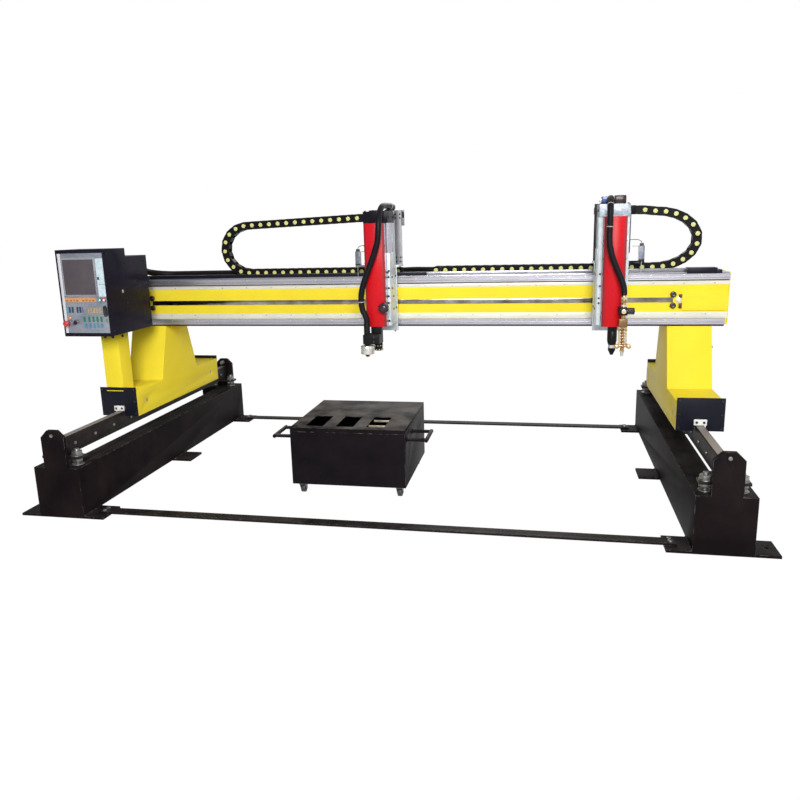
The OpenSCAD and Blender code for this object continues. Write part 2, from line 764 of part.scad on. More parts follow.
// Cabinet outline seen from the side: the top steps down towards the back
function cabinet_outline(in) = [
    [cabinet_front + in, cabinet_low + in], [cabinet_front + cabinet_d - in, cabinet_low + in],
    [cabinet_front + cabinet_d - in, cabinet_low + cabinet_h - cabinet_step - in],
    [cabinet_front + cabinet_step_d - in, cabinet_low + cabinet_h - cabinet_step - in],
    [cabinet_front + cabinet_step_d - in, cabinet_low + cabinet_h - in], [cabinet_front + in,
        cabinet_low + cabinet_h - in]];

// Folded sheet cabinet, open at the front inside a rim, with a hose gland at its back
module cabinet_shell() {
    left = cabinet_x - cabinet_w / 2;
    color([0.09, 0.09, 0.12]) on_gantry() {
        difference() {
            translate([left, 0, 0]) rotate([90, 0,
                90]) linear_extrude(cabinet_w) polygon(cabinet_outline(0));
            translate([left + cabinet_t, 0, 0]) rotate([90, 0,
                90]) linear_extrude(cabinet_w - 2 * cabinet_t)
                polygon(cabinet_outline(cabinet_t));
            box([left + rim_side, cabinet_front - 1, cabinet_low + rim_end],
                [left + cabinet_w - rim_side, cabinet_front + cabinet_t + 1,
                    cabinet_low + cabinet_h - rim_end]);
        }
        translate([gland_at[0], cabinet_front + cabinet_d, gland_at[1]]) difference() {
            along_y(supply_hose_d / 2 + gland_wall, -0.01, gland_len);
            along_y(supply_hose_d / 2 + run_gap, -1, gland_len + 1);
        }
    }
}

// Front panel with its screen; the controls pass through holes
module control_panel() {
    left = cabinet_x - cabinet_w / 2 + rim_side;
    right = left + cabinet_w - 2 * rim_side;
    low = cabinet_low + rim_end;
    high = low + cabinet_h - 2 * rim_end;
    lip = rim_side - cabinet_t - slide_gap;
    color([0.72, 0.73, 0.76]) on_gantry() {
        difference() {
            union() {
                box([left + panel_fit, panel_front, low + panel_fit], [right - panel_fit,
                    panel_front + panel_t, high - panel_fit]);
                box([left - lip, panel_front + panel_t, low - lip], [right + lip,
                    panel_front + panel_t + panel_lip_t, high + lip]);
            }
            for (at = [estop_at, start_at, stop_at, selector_at])
                translate([at[0], 0, at[1]]) along_y(button_hole_r, panel_front - 1, panel_front + 6);
            translate([rocker_at[0] - rocker[0] / 2, panel_front - 1, rocker_at[1] - rocker[1] / 2])
                cube([rocker[0], 8, rocker[1]]);
            box([screen_at[0], panel_front - 1, screen_at[1]],
                [screen_at[0] + screen[0], panel_front + 1, screen_at[1] + screen[1]]);
        }
        box([screen_at[0] + panel_fit, panel_front - 0.2, screen_at[1] + panel_fit],
            [screen_at[0] + screen[0] - panel_fit, panel_front + 1 - panel_fit,
                screen_at[1] + screen[1] - panel_fit]);
    }
}

// A round push button: cap, stem and a ring behind the panel
module push_button(at, cap_r, cap_out, travel) {
    translate([at[0], 0, at[1]]) {
        along_y(cap_r, panel_front - travel - cap_out, panel_front - travel - 0.5);
        along_y(button_hole_r - slide_gap / 2, panel_front - travel - 1, panel_front + panel_t + 12);
        along_y(button_hole_r + 3, panel_front + panel_t + 2.5, panel_front + panel_t + 5);
    }
}

module emergency_stop() { color("red") on_gantry() push_button(estop_at, 16, 22, 5); }
module start_button() { color("green") on_gantry() push_button(start_at, 9, 5, 3); }
module stop_button() { color("darkred") on_gantry() push_button(stop_at, 9, 5, 3); }

// Rotary selector with a grip bar
module selector_knob() {
    color([0.12, 0.12, 0.12]) on_gantry() translate([selector_at[0], 0, selector_at[1]]) {
        along_y(11, panel_front - 8, panel_front - 0.3);
        along_y(button_hole_r - slide_gap / 2, panel_front - 1, panel_front + panel_t + 12);
        box([-3, panel_front - 18, -10], [3, panel_front - 7, 10]);
    }
}

// Rocker that tips about a pin across its middle
module speed_rocker() {
    color([0.05, 0.05, 0.06]) on_gantry() translate([rocker_at[0], panel_front + 2, rocker_at[1]])
        rotate([90, 0, 90]) linear_extrude(rocker[0] - 1, center = true)
            polygon([[-6, -22], [-8, -14], [-5, 0], [-8, 14], [-6, 22], [1, 20], [6, 0], [1, -20]]);
}

module supply_hose() { color([0.05, 0.05, 0.06]) on_gantry() hose(supply_route, supply_hose_d / 2); }

// Middle line of a drag chain: lower run, a bend with its own reach, and an upper run that droops to it
function chain_line(side, bend_x, reach, droop, fixed_x, end_x) = concat(
    [[fixed_x, chain_low_z]],
    [for (a = [0:15:180]) [bend_x + side * reach * sin(a),
        chain_low_z + (chain_r - droop / 2) * (1 - cos(a))]],
    [[end_x + side * chain_end, chain_top_z], [end_x, chain_top_z]]);
function beside(p, i, d) = let (t = tangent(p, i)) p[i] + d * [-t[1], t[0]];

// Drag chain; side is +1 when the bend is on the right
module drag_chain(side, bend_x, reach, droop, fixed_x, end_x) {
    p = chain_line(side, bend_x, reach, droop, fixed_x, end_x);
    n = len(p) - 1;
    color([0.08, 0.08, 0.08]) on_gantry() translate([0, chain_w / 2, 0]) rotate([90, 0, 0])
        linear_extrude(chain_w) polygon(concat(
            [for (i = [0:n]) beside(p, i, chain_h / 2)],
            [for (i = [0:n]) beside(p, n - i, -chain_h / 2)]));
}

module left_chain() {
    drag_chain(-1, left_bend_x, left_reach, left_droop, left_fixed_x, left_x - chain_arm_in);
}
module right_chain() {
    drag_chain(1, right_bend_x, right_reach, right_droop, right_fixed_x, right_x + chain_arm_in);
}

// Carriage frame in its own frame: plate, bearing blocks, bracket cheeks, motor shelf, upright and sensor.
// side is +1 when the drag chain comes from the right; the housing is body_w wide and stands at body_x
module carriage_frame(side, body_w, body_x, pinion_at, plate_w) {
    strip_y = [-112, -88];
    plate_x = [body_x - plate_w / 2, body_x + plate_w / 2];
    shelf_x = [min(plate_x[0], -side * shelf_out), max(plate_x[1], -side * shelf_out)];
    color([0.86, 0.87, 0.89]) {
        difference() {
            union() {
                box([plate_x[0], plate_front, plate_low], [plate_x[1], plate_back, shelf_z]);
                for (s = [-1, 1])
                    translate([body_x + s * (body_w / 2 + bracket_t / 2) - bracket_t / 2,
                        body_front + 20, cover_low])
                        cube([bracket_t, plate_front - body_front - 20, bracket_top - cover_low]);
                box([shelf_x[0], plate_front, shelf_z], [shelf_x[1], -chain_w / 2 - 1,
                    shelf_z + shelf_t]);
            }
            translate([pinion_at, beam_pinion_y, shelf_z - 1]) cylinder(r = 9, h = shelf_t + 2);
        }
        for (x = [-1, 1], z = [guide_low_z, guide_top_z])
            translate([body_x + x * (plate_w / 2 - block_len / 2 - 5), 0, z]) carriage_block();
    }
    color([0.45, 0.45, 0.46]) mirror([side > 0 ? 1 : 0, 0, 0]) {
        // upright, and the arm behind the hose that holds the chain's moving end
        box([upright_x[0], -chain_w / 2 - 9, shelf_z + shelf_t], [upright_x[1], -chain_w / 2 - 1,
            upright_top]);
        box([upright_x[1] - arm_t, -chain_w / 2 - 1, chain_top_z - 17], [upright_x[1], chain_w / 2,
            chain_top_z + 17]);
        box([-chain_arm_in + 0.5, chain_w / 2 - arm_t, chain_top_z - 17], [upright_x[1], chain_w / 2,
            chain_top_z + 17]);
        // end-of-travel sensor on a strip beside the shelf
        box([sensor_x[0], strip_y[0], shelf_z], [-strip_in, strip_y[1], shelf_z + shelf_t]);
        box([sensor_x[0], strip_y[0], shelf_z + shelf_t], [sensor_x[1], strip_y[1],
            shelf_z + shelf_t + sensor_h]);
    }
}

// Bearing block that wraps a guide rail
module carriage_block() {
    along_beam(-block_len / 2, block_len / 2) difference() {
        translate([2, -guide_h / 2 - 12]) square([block_out - 2, guide_h + 24]);
        polygon(guide_points(slide_gap));
    }
}

// Drive motor on the carriage's shelf and lift motor on the housing's top block
module carriage_motors(pinion_at, screw_x, recess) {
    drive_z = shelf_z + shelf_t;
    lift_z = cover_top + block_h - recess;
    color([0.1, 0.1, 0.11]) {
        translate([pinion_at, beam_pinion_y, drive_z]) difference() {
            translate([-drive_motor_w / 2, -drive_motor_w / 2, 0]) cube([drive_motor_w, drive_motor_w,
                drive_motor_h]);
            translate([0, 0, -1]) cylinder(r = journal_r + run_gap, h = shaft_in + 2);
        }
        translate([screw_x, screw_y, lift_z]) difference() {
            translate([-lift_motor_w / 2, -lift_motor_w / 2, 0]) cube([lift_motor_w, lift_motor_w,
                lift_motor_h]);
            translate([0, 0, -1]) cylinder(r = journal_r + run_gap, h = shaft_in);
        }
    }
}

// Carriage pinion with its shaft, at the nearest place where it meshes with the beam's rack
function beam_mesh_x(x) = pitch * round(x / pitch);
module carriage_pinion() {
    gear_z = beam_top + 1;
    gear_h = rack_beam_h - 2;
    color("darkgray") translate([0, beam_pinion_y, gear_z]) {
        linear_extrude(gear_h) polygon(gear_points(270 - 180 / pinion_teeth));
        cylinder(r = journal_r, h = shelf_z + shelf_t + shaft_in - gear_z);
    }
}

// Lifter housing: a channel open to the front, with a bearing foot, a flat guide and a block on top
module lifter_housing(body_w, body_x, screw_x, recess) {
    pocket = lift_motor_w / 2 + slide_gap;
    left = body_x - body_w / 2;
    right = body_x + body_w / 2;
    color([0.78, 0.79, 0.81]) difference() {
        union() {
            difference() {
                box([left, body_front, cover_low], [right, plate_front, cover_top]);
                box([-lip_in, body_front - 1, cover_low + foot_h], [lip_in, body_front + body_wall + 1,
                    cover_top + 1]);
                box([left + body_wall, body_front + body_wall, cover_low + foot_h],
                    [right - body_wall, plate_front - body_wall, cover_top + 1]);
            }
            box([left, block_front, cover_top], [right, plate_front, cover_top + block_h]);
            box([screw_x - guide_bar_w / 2, plate_front - body_wall - guide_bar_d, cover_low + foot_h - 1],
                [screw_x + guide_bar_w / 2, plate_front - body_wall + 1, cover_top + 1]);
        }
        translate([screw_x, screw_y, cover_low - 1]) cylinder(r = journal_r + run_gap, h = foot_h + 2);
        translate([screw_x, screw_y, cover_top - 1]) cylinder(r = journal_r + run_gap, h = block_h + 2);
        if (recess > 0) box([screw_x - pocket, screw_y - pocket, cover_top + block_h - recess],
            [screw_x + pocket, screw_y + pocket, cover_top + block_h + 1]);
    }
}

// Lifting screw with its two journals, the upper one inside the motor; the fine thread is left off
module lift_screw(screw_x, recess) {
    thread_z = cover_low + foot_h + slide_gap;
    color("silver") translate([screw_x, screw_y, 0]) {
        translate([0, 0, thread_z]) cylinder(r = screw_d / 2, h = cover_top - slide_gap - thread_z);
        translate([0, 0, cover_low + 2]) cylinder(r = journal_r, h = cover_h + block_h + shaft_in - recess - 8);
    }
}

// Moving slide: a nut block on the screw and the guide, a front plate and the red cover folded round it
module lift_slide(screw_x) {
    half = cover_w / 2;
    bar_front = plate_front - body_wall - guide_bar_d;
    color([0.3, 0.3, 0.32]) difference() {
        union() {
            box([-40, screw_y - 42, nut_low], [45, bar_front + 11, nut_low + nut_h_lift]);
            box([-30, slide_back, nut_low + 10], [30, screw_y - 41, nut_low + nut_h_lift - 10]);
            box([-half + cover_t, slide_back - slide_t, cover_low + 4], [half - cover_t, slide_back,
                cover_top - 4]);
        }
        translate([screw_x, screw_y, nut_low - 1]) cylinder(r = screw_d / 2 + run_gap, h = nut_h_lift + 2);
        box([screw_x - guide_bar_w / 2 - slide_gap, bar_front - slide_gap, nut_low - 1],
            [screw_x + guide_bar_w / 2 + slide_gap, plate_front, nut_low + nut_h_lift + 1]);
    }
    color([0.88, 0.08, 0.09]) difference() {
        box([-half, cover_front, cover_low], [half, slide_back, cover_top - 0.5]);
        box([-half + cover_t, cover_front + cover_t, cover_low - 1], [half - cover_t, slide_back + 1,
            cover_top - 0.5 - cover_t]);
    }
}

// Left torch: a block on the slide's plate, a clamp, the torch with its collar and nozzle, and a sensor
module left_torch() {
    plate_y = slide_back - slide_t;
    clamp_low = cover_low - 84;
    clamp_high = cover_low - 34;
    color([0.06, 0.06, 0.07]) on_gantry() translate([left_x, 0, 0]) {
        difference() {
            union() {
                box([-30, cover_front + 5, cover_low - 88], [24, plate_y, cover_low + 44]);
                box([left_torch_x - left_torch_r - 2, left_torch_y - 24, clamp_low], [24, cover_front + 26,
                    clamp_high]);
            }
            translate([left_torch_x, left_torch_y, clamp_low - 1])
                cylinder(r = left_torch_r + run_gap, h = clamp_high - clamp_low + 2);
        }
        translate([left_torch_x, left_torch_y, 0]) {
            translate([0, 0, cover_low - 92]) cylinder(r = left_torch_r,
                h = left_torch_top - cover_low + 92);
            translate([0, 0, cover_low - 136]) cylinder(r = left_collar_r, h = 44);
            translate([0, 0, cover_low - 150]) cylinder(r1 = 9, r2 = 17, h = 15);
        }
        translate([2, cover_front + 30, cover_low - 126]) cylinder(r = 22, h = 40);
    }
}

// Right torches: a black one on the slide's plate, and a brass one clamped in front of the cover
module right_torches() {
    plate_y = slide_back - slide_t;
    color([0.06, 0.06, 0.07]) on_gantry() translate([right_x, 0, 0]) {
        translate([right_torch_x, right_torch_y, 0]) {
            translate([0, 0, cover_low - 70]) cylinder(r = right_torch_r, h = 110);
            translate([0, 0, cover_low - 89]) cylinder(r1 = 17, r2 = right_torch_r, h = 20);
            translate([0, 0, cover_low - 105]) cylinder(r = 17, h = 17);
            translate([0, 0, cover_low - 140]) cylinder(r1 = 7, r2 = 15, h = 36);
        }
        box([right_torch_x - 20, right_torch_y + 5, cover_low + 6], [right_torch_x + 20, plate_y,
            cover_low + 40]);
        difference() {
            box([22, brass_y - 22, clamp_z - 19], [62, cover_front, clamp_z + 19]);
            translate([brass_x, brass_y, clamp_z - 20]) cylinder(r = brass_r + run_gap, h = 40);
        }
    }
    color([0.8, 0.6, 0.25]) on_gantry() translate([right_x + brass_x, brass_y, 0]) {
        translate([0, 0, cover_low - 110]) cylinder(r = brass_r, h = brass_top - cover_low + 110);
        translate([0, 0, cover_low - 135]) cylinder(r1 = 5, r2 = 12, h = 26);
        translate([-20, -12, cover_low + 5]) cube([40, 24, 40]);
        translate([-14, -11, cover_low + 118]) cube([28, 22, 30]);
        translate([0, 0, valve_z]) along_x(5, -valve_x, valve_x);
        for (x = [-1, 1]) {
            translate([x * 15.5, 0, valve_z - 10]) cylinder(r = 4, h = cover_low + 16 - valve_z);
            translate([x * valve_x, 0, valve_z]) along_y(8, -14, 10);
        }
    }
}

// A hand knob with lobes, its stem along Y; the front is at y0
module lobed_knob(r, y0, y1, stem_r, stem_end) {
    rotate([90, 0, 0]) translate([0, 0, -y1]) linear_extrude(y1 - y0) difference() {
        circle(r = r);
        for (a = [0 : 60 : 300]) rotate(a) translate([r * 1.22, 0]) circle(r = r * 0.42);
    }
    along_y(stem_r, y1 - 1, stem_end);
}

module left_clamp_knob() {
    color([0.06, 0.06, 0.07]) on_gantry() translate([left_x + 45, 0, cover_low + 98])
        lobed_knob(27, cover_front - 30, cover_front - 2, 6, cover_front - 0.3);
}

module right_clamp_knob() {
    color([0.06, 0.06, 0.07]) on_gantry() translate([right_x + 62, brass_y, clamp_z]) rotate([0, 0, 90])
        lobed_knob(16, -34, -3, 6, -0.3);
}

// Valve knobs in front of the two side valves of the brass torch
module valve_knob(x) {
    color([0.75, 0.5, 0.25]) on_gantry() translate([right_x + brass_x + x, brass_y - 14, valve_z])
        lobed_knob(12, -16, -3, 4, -0.3);
}

module oxygen_valve_knob() { valve_knob(-valve_x); }
module fuel_valve_knob() { valve_knob(valve_x); }

module left_torch_hose() { color([0.07, 0.07, 0.08]) on_gantry() hose(left_route, hose_d / 2); }
module right_torch_hose() { color([0.07, 0.07, 0.08]) on_gantry() hose(right_route, hose_d / 2); }

// What follows stands on a carriage
module on_left() {
    on_gantry() translate([left_x, 0, 0]) children();
}
module on_right() {
    on_gantry() translate([right_x, 0, 0]) children();
}

left_mesh_x = beam_mesh_x(left_x) - left_x;
right_mesh_x = beam_mesh_x(right_x) - right_x;

module left_carriage_frame() { on_left() carriage_frame(-1, left_body_w, left_body_x, left_mesh_x,
    left_plate_w); }
module right_carriage_frame() { on_right() carriage_frame(1, right_body_w, right_body_x, right_mesh_x,
    right_plate_w); }
module left_motors() { on_left() carriage_motors(left_mesh_x, left_screw_x, left_recess); }
module right_motors() { on_right() carriage_motors(right_mesh_x, right_screw_x, right_recess); }
module left_pinion() { on_left() translate([left_mesh_x, 0, 0]) carriage_pinion(); }
module right_pinion() { on_right() translate([right_mesh_x, 0, 0]) carriage_pinion(); }
module left_lifter_housing() { on_left() lifter_housing(left_body_w, left_body_x, left_screw_x,
    left_recess); }
module right_lifter_housing() { on_right() lifter_housing(right_body_w, right_body_x, right_screw_x,
    right_recess); }
module left_lift_screw() { on_left() lift_screw(left_screw_x, left_recess); }
module right_lift_screw() { on_right() lift_screw(right_screw_x, right_recess); }
module left_lift_slide() { on_left() lift_slide(left_screw_x); }
module right_lift_slide() { on_right() lift_slide(right_screw_x); }

track_left();
track_right();
track_rails();
gear_racks();
tie_bars();
track_bolts();
slag_cart();
caster_fork(-1, -1);  // caster_fork_front_left
caster_fork(1, -1);  // caster_fork_front_right
caster_fork(-1, 1);  // caster_fork_rear_left
caster_fork(1, 1);  // caster_fork_rear_right
caster_wheel(-1, -1);  // caster_wheel_front_left
caster_wheel(1, -1);  // caster_wheel_front_right
caster_wheel(-1, 1);  // caster_wheel_rear_left
caster_wheel(1, 1);  // caster_wheel_rear_right
end_carriage_left();
end_carriage_right();
carriage_covers();
rail_wheel(-1, -1);  // rail_wheel_front_left
rail_wheel(1, -1);  // rail_wheel_front_right
rail_wheel(-1, 1);  // rail_wheel_rear_left
rail_wheel(1, 1);  // rail_wheel_rear_right
gantry_motors();
drive_pinion_left();
drive_pinion_right();
cross_beam();
guide_rails();
beam_rack();
steel_band();
beam_end_covers();
cabinet_shell();
control_panel();
emergency_stop();
start_button();
stop_button();
selector_knob();
speed_rocker();
supply_hose();
left_chain();
right_chain();
left_carriage_frame();
left_motors();
left_pinion();
left_lifter_housing();
left_lift_screw();
left_lift_slide();
left_torch();
left_clamp_knob();
left_torch_hose();
right_carriage_frame();
right_motors();
right_pinion();
right_lifter_housing();
right_lift_screw();
right_lift_slide();
right_torches();
right_clamp_knob();
right_torch_hose();
oxygen_valve_knob();
fuel_valve_knob();
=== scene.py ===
# Gantry plasma cutter: two tracks on the floor, a gantry on rail wheels with its control cabinet, and two
# torch carriages. Every piece stands in the machine's own frame, in metres: X along the beam, Z up.
import math

import bpy
from mathutils import Matrix, Vector


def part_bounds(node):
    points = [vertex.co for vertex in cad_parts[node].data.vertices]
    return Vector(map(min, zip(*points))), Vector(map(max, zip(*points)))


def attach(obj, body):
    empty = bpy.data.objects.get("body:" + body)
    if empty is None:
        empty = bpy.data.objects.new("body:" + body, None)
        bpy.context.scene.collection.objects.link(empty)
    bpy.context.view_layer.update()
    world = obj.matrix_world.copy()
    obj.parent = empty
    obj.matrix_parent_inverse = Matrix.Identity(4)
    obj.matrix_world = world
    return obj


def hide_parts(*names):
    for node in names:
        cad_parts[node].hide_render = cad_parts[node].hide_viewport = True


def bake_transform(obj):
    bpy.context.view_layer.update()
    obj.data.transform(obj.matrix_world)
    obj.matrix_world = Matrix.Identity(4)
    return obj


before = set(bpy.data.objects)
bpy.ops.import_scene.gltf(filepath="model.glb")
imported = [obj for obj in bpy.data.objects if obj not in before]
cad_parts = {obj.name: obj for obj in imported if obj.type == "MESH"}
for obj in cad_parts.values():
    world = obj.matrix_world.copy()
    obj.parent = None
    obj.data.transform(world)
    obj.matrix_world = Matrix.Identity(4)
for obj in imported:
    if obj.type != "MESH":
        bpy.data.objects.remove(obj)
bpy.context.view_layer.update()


# ---- Studio ----------------------------------------------------------------------------------------------
# A pale floor under a white surround, one large soft lamp in front and weaker ones on the right and behind.
# None of it belongs to the machine.
def node(tree, kind, inputs=None, **settings):
    made = tree.nodes.new(kind)
    for key, value in settings.items():
        setattr(made, key, value)
    for key, value in (inputs or {}).items():
        if isinstance(value, bpy.types.NodeSocket):
            tree.links.new(value, made.inputs[key])
        else:
            made.inputs[key].default_value = value
    return made


def maths(tree, operation, *values):
    """The outcome of one operation on numbers or sockets."""
    return node(tree, "ShaderNodeMath", dict(enumerate(values)), operation=operation).outputs[0]


def ranged(tree, value, low=0.0, high=1.0, to_low=0.0, to_high=1.0):
    """The value moved from the range low to high onto the range to_low to to_high."""
    return node(tree, "ShaderNodeMapRange", {"Value": value, "From Min": low, "From Max": high,
                                             "To Min": to_low, "To Max": to_high}).outputs[0]


def whiteness(tree, least, mirrored):
    """1 for what the camera or glass sees, mirrored in reflections, and least for the light on the machine."""
    rays = node(tree, "ShaderNodeLightPath").outputs
    seen = maths(tree, "MAXIMUM", rays["Is Camera Ray"], rays["Is Transmission Ray"])
    return ranged(tree, seen, to_low=ranged(tree, rays["Is Glossy Ray"], to_low=least, to_high=mirrored))


scene = bpy.context.scene
scene.view_settings.view_transform = "Standard"

eye_right = Vector((0.98095, 0.19249, -0.02625))
eye_forward = Vector((-0.19361, 0.95760, -0.21337))
eye_up = eye_right.cross(eye_forward)
camera_data = bpy.data.cameras.new("camera")
camera_data.lens = 32.315
camera_data.shift_y = -0.01875
camera_data.clip_end = 200
camera = bpy.data.objects.new("camera", camera_data)
camera.matrix_world = Matrix.Translation((0.770, -3.8425, 1.328)) @ Matrix(
    (eye_right, eye_up, -eye_forward)
).transposed().to_4x4()
scene.collection.objects.link(camera)
scene.camera = camera

world = bpy.data.worlds.new("surround")
world.use_nodes = True
scene.world = world
sky_tree = world.node_tree
sky = sky_tree.nodes["Background"]
sky.inputs["Color"].default_value = (1, 1, 1, 1)
towards = node(sky_tree, "ShaderNodeTexCoord").outputs[0]
across_sky = node(sky_tree, "ShaderNodeSeparateXYZ", {0: towards}).outputs["X"]
# darkest on the left and palest on the right: the light on the machine, and what its metal mirrors
on_machine, in_metal = (ranged(sky_tree, across_sky, -1.0, 1.0, *ends) for ends in ((0.06, 0.52), (0.25, 1.0)))
sky_tree.links.new(whiteness(sky_tree, on_machine, in_metal), sky.inputs["Strength"])

LAMPS_AIM = Vector((0, 0, 0.6))
for label, place, power, size in (
    ("key_lamp", (1.2, -6.5, 3.6), 430, 3.0),
    ("fill_lamp", (5.5, -3.0, 3.2), 20, 3.0),
    ("rear_lamp", (0.5, 6.0, 4.5), 110, 4.0),
):
    lamp = bpy.data.lights.new(label, "AREA")
    lamp.energy, lamp.size = power, size
    lamp_object = bpy.data.objects.new(label, lamp)
    lamp_object.location = place
    lamp_object.rotation_mode = "QUATERNION"
    lamp_object.rotation_quaternion = (LAMPS_AIM - Vector(place)).to_track_quat("-Z", "Y")
    scene.collection.objects.link(lamp_object)

bpy.ops.object.select_all(action="DESELECT")
bpy.ops.mesh.primitive_plane_add(size=80, location=(0, 0, -0.0006))
floor = bpy.context.object
floor.name = "floor"
floor_paint = bpy.data.materials.new("floor_paint")
floor_paint.use_nodes = True
floor_tree = floor_paint.node_tree
floor_tree.nodes.clear()
matt = node(floor_tree, "ShaderNodeBsdfDiffuse", {"Color": (0.62, 0.62, 0.63, 1)})
white = node(floor_tree, "ShaderNodeEmission", {"Color": (1, 1, 1, 1), "Strength": 1.03})
share = maths(floor_tree, "MULTIPLY", whiteness(floor_tree, 0.0, 0.7), 0.97)
floor_mix = node(floor_tree, "ShaderNodeMixShader", {0: share, 1: matt.outputs[0], 2: white.outputs[0]})
node(floor_tree, "ShaderNodeOutputMaterial", {"Surface": floor_mix.outputs[0]})
floor.data.materials.append(floor_paint)


# ---- Hoses -----------------------------------------------------------------------------------------------
# Black rubber hoses: the supply bundle from the cabinet's gland along the beam's top into the left chain,
# and one flexible conduit from each chain's moving end over the lifter and down to its torch.
def noise(tree, scale, detail, place=None):
    """Uneven values over a piece, at its own places unless others are given."""
    if place is None:
        place = node(tree, "ShaderNodeTexCoord").outputs["Object"]
    return node(tree, "ShaderNodeTexNoise", {"Vector": place, "Scale": scale, "Detail": detail}).outputs[0]


def effect(label, output, build, **values):
    """A node group with number inputs and one output, filled by build(tree, inputs)."""
    tree = bpy.data.node_groups.new(label, "ShaderNodeTree")
    for key, value in values.items():
        socket = tree.interface.new_socket(key.replace("_", " "), in_out="INPUT", socket_type="NodeSocketFloat")
        socket.default_value = value
    tree.interface.new_socket(output, in_out="OUTPUT", socket_type="NodeSocketFloat")
    made = build(tree, tree.nodes.new("NodeGroupInput").outputs)
    tree.links.new(made, tree.nodes.new("NodeGroupOutput").inputs[0])
    return tree


def grain_marks(tree, given):
    """Fine marks drawn out along an axis, from nearly none to a brushed or rolled surface."""
    place = node(tree, "ShaderNodeTexCoord").outputs["Object"]
    scale = node(tree, "ShaderNodeCombineXYZ", {0: given[0], 1: given[1], 2: given[2]})
    spread = node(tree, "ShaderNodeVectorMath", {0: place, 1: scale.outputs[0]}, operation="MULTIPLY")
    return noise(tree, 1.0, 3.0, spread.outputs[0])


def broad_tone(tree, given):
    """Broad uneven tone, as left by spraying, handling and oil."""
    return ranged(tree, noise(tree, given[0], 4.0), 0.3, 0.7, given[1], given[2])


def dust_mask(tree, given):
    """Cutting dust that has settled on whatever faces upwards."""
    shape = node(tree, "ShaderNodeNewGeometry")
    up = node(tree, "ShaderNodeSeparateXYZ", {0: shape.outputs["Normal"]}).outputs["Z"]
    patches = ranged(tree, noise(tree, given[1], 6.0), 0.35, 0.75)
    return maths(tree, "MULTIPLY", maths(tree, "MULTIPLY", ranged(tree, up, 0.4), patches), given[0])


def wear_mask(tree, given):
    """Corners rubbed through to the metal: where the bevelled normal leaves the true one, broken up."""
    true = node(tree, "ShaderNodeNewGeometry").outputs["Normal"]
    soft = node(tree, "ShaderNodeBevel", {"Radius": given[1]}, samples=4).outputs[0]
    turn = node(tree, "ShaderNodeVectorMath", {0: true, 1: soft}, operation="DOT_PRODUCT").outputs["Value"]
    spots = ranged(tree, noise(tree, given[2], 5.0), 0.45, 0.65)
    return maths(tree, "MULTIPLY", maths(tree, "MULTIPLY", ranged(tree, turn, 0.99, 0.85), spots), given[0])


grain = effect("surface_grain", "Mark", grain_marks, Across_X=300, Across_Y=300, Across_Z=300)
clouds = effect("uneven_tone", "Tone", broad_tone, Scale=4, Low=0.9, High=1.1)
dust = effect("settled_dust", "Mask", dust_mask, Amount=0.3, Scale=9)
wear = effect("edge_wear", "Mask", wear_mask, Amount=0.5, Width=0.002, Breakup=40)
BARE_STEEL = (0.42, 0.40, 0.38, 1)
CUTTING_DUST = (0.30, 0.27, 0.25, 1)


def placed(tree, effect_tree, **values):
    """The effect in a material, with that material's own values."""
    made = node(tree, "ShaderNodeGroup", node_tree=effect_tree)
    for key, value in values.items():
        made.inputs[key.replace("_", " ")].default_value = value
    return made.outputs[0]


def mixed(tree, factor, low, high):
    """Colour low where factor is 0 and high where it is 1."""
    mix = tree.nodes.new("ShaderNodeMix")
    mix.data_type = "RGBA"
    colours = [s for s in mix.inputs if s.type == "RGBA"]
    tree.links.new(factor, mix.inputs[0])
    for socket, value in zip(colours, (low, high)):
        if isinstance(value, bpy.types.NodeSocket):
            tree.links.new(value, socket)
        else:
            socket.default_value = value
    return [s for s in mix.outputs if s.type == "RGBA"][0]


def finish(label, colour, rough, metal=0.0, tone=0.06, tone_scale=4, marks=300, mark_tone=0.04, relief=0.02,
           rough_range=0.08, worn=0.0, worn_width=0.002, dusty=0.0, coat=0.0, second=None, shine=0.5):
    """A surface with its own colour, tone, grain, wear and dust. The tone drifts to the second colour where one
    is given. marks says how close the grain lies along X, Y and Z, or along all three."""
    made = bpy.data.materials.new(label)
    made.use_nodes = True
    tree = made.node_tree
    body = tree.nodes["Principled BSDF"]
    broad = placed(tree, clouds, Scale=tone_scale, Low=1 - tone, High=1 + tone)
    near_x, near_y, near_z = marks if isinstance(marks, tuple) else (marks, marks, marks)
    mark = placed(tree, grain, Across_X=near_x, Across_Y=near_y, Across_Z=near_z)
    fine = ranged(tree, mark, 0.3, 0.7, 1 - mark_tone, 1 + mark_tone)
    level = maths(tree, "MULTIPLY", broad, fine)
    base = (*colour, 1)
    if second:
        drift = placed(tree, clouds, Scale=tone_scale * 2.3, Low=0.0, High=1.0)
        base = mixed(tree, drift, base, (*second, 1))
    tinted = node(tree, "ShaderNodeHueSaturation", {"Value": level, "Color": base}).outputs[0]
    if worn:
        tinted = mixed(tree, placed(tree, wear, Amount=worn, Width=worn_width), tinted, BARE_STEEL)
    if dusty:
        tinted = mixed(tree, placed(tree, dust, Amount=dusty), tinted, CUTTING_DUST)
    tree.links.new(tinted, body.inputs["Base Color"])
    sheen = ranged(tree, mark, 0.3, 0.7, max(rough - rough_range, 0.03), min(rough + rough_range, 1.0))
    tree.links.new(sheen, body.inputs["Roughness"])
    for key, value in (("Metallic", metal), ("Coat Weight", coat), ("Specular IOR Level", shine)):
        body.inputs[key].default_value = value
    if relief:
        bump = node(tree, "ShaderNodeBump",
                    {"Height": mark, "Strength": min(relief * 10, 1.0), "Distance": 0.0006})
        tree.links.new(bump.outputs[0], body.inputs["Normal"])
    return made


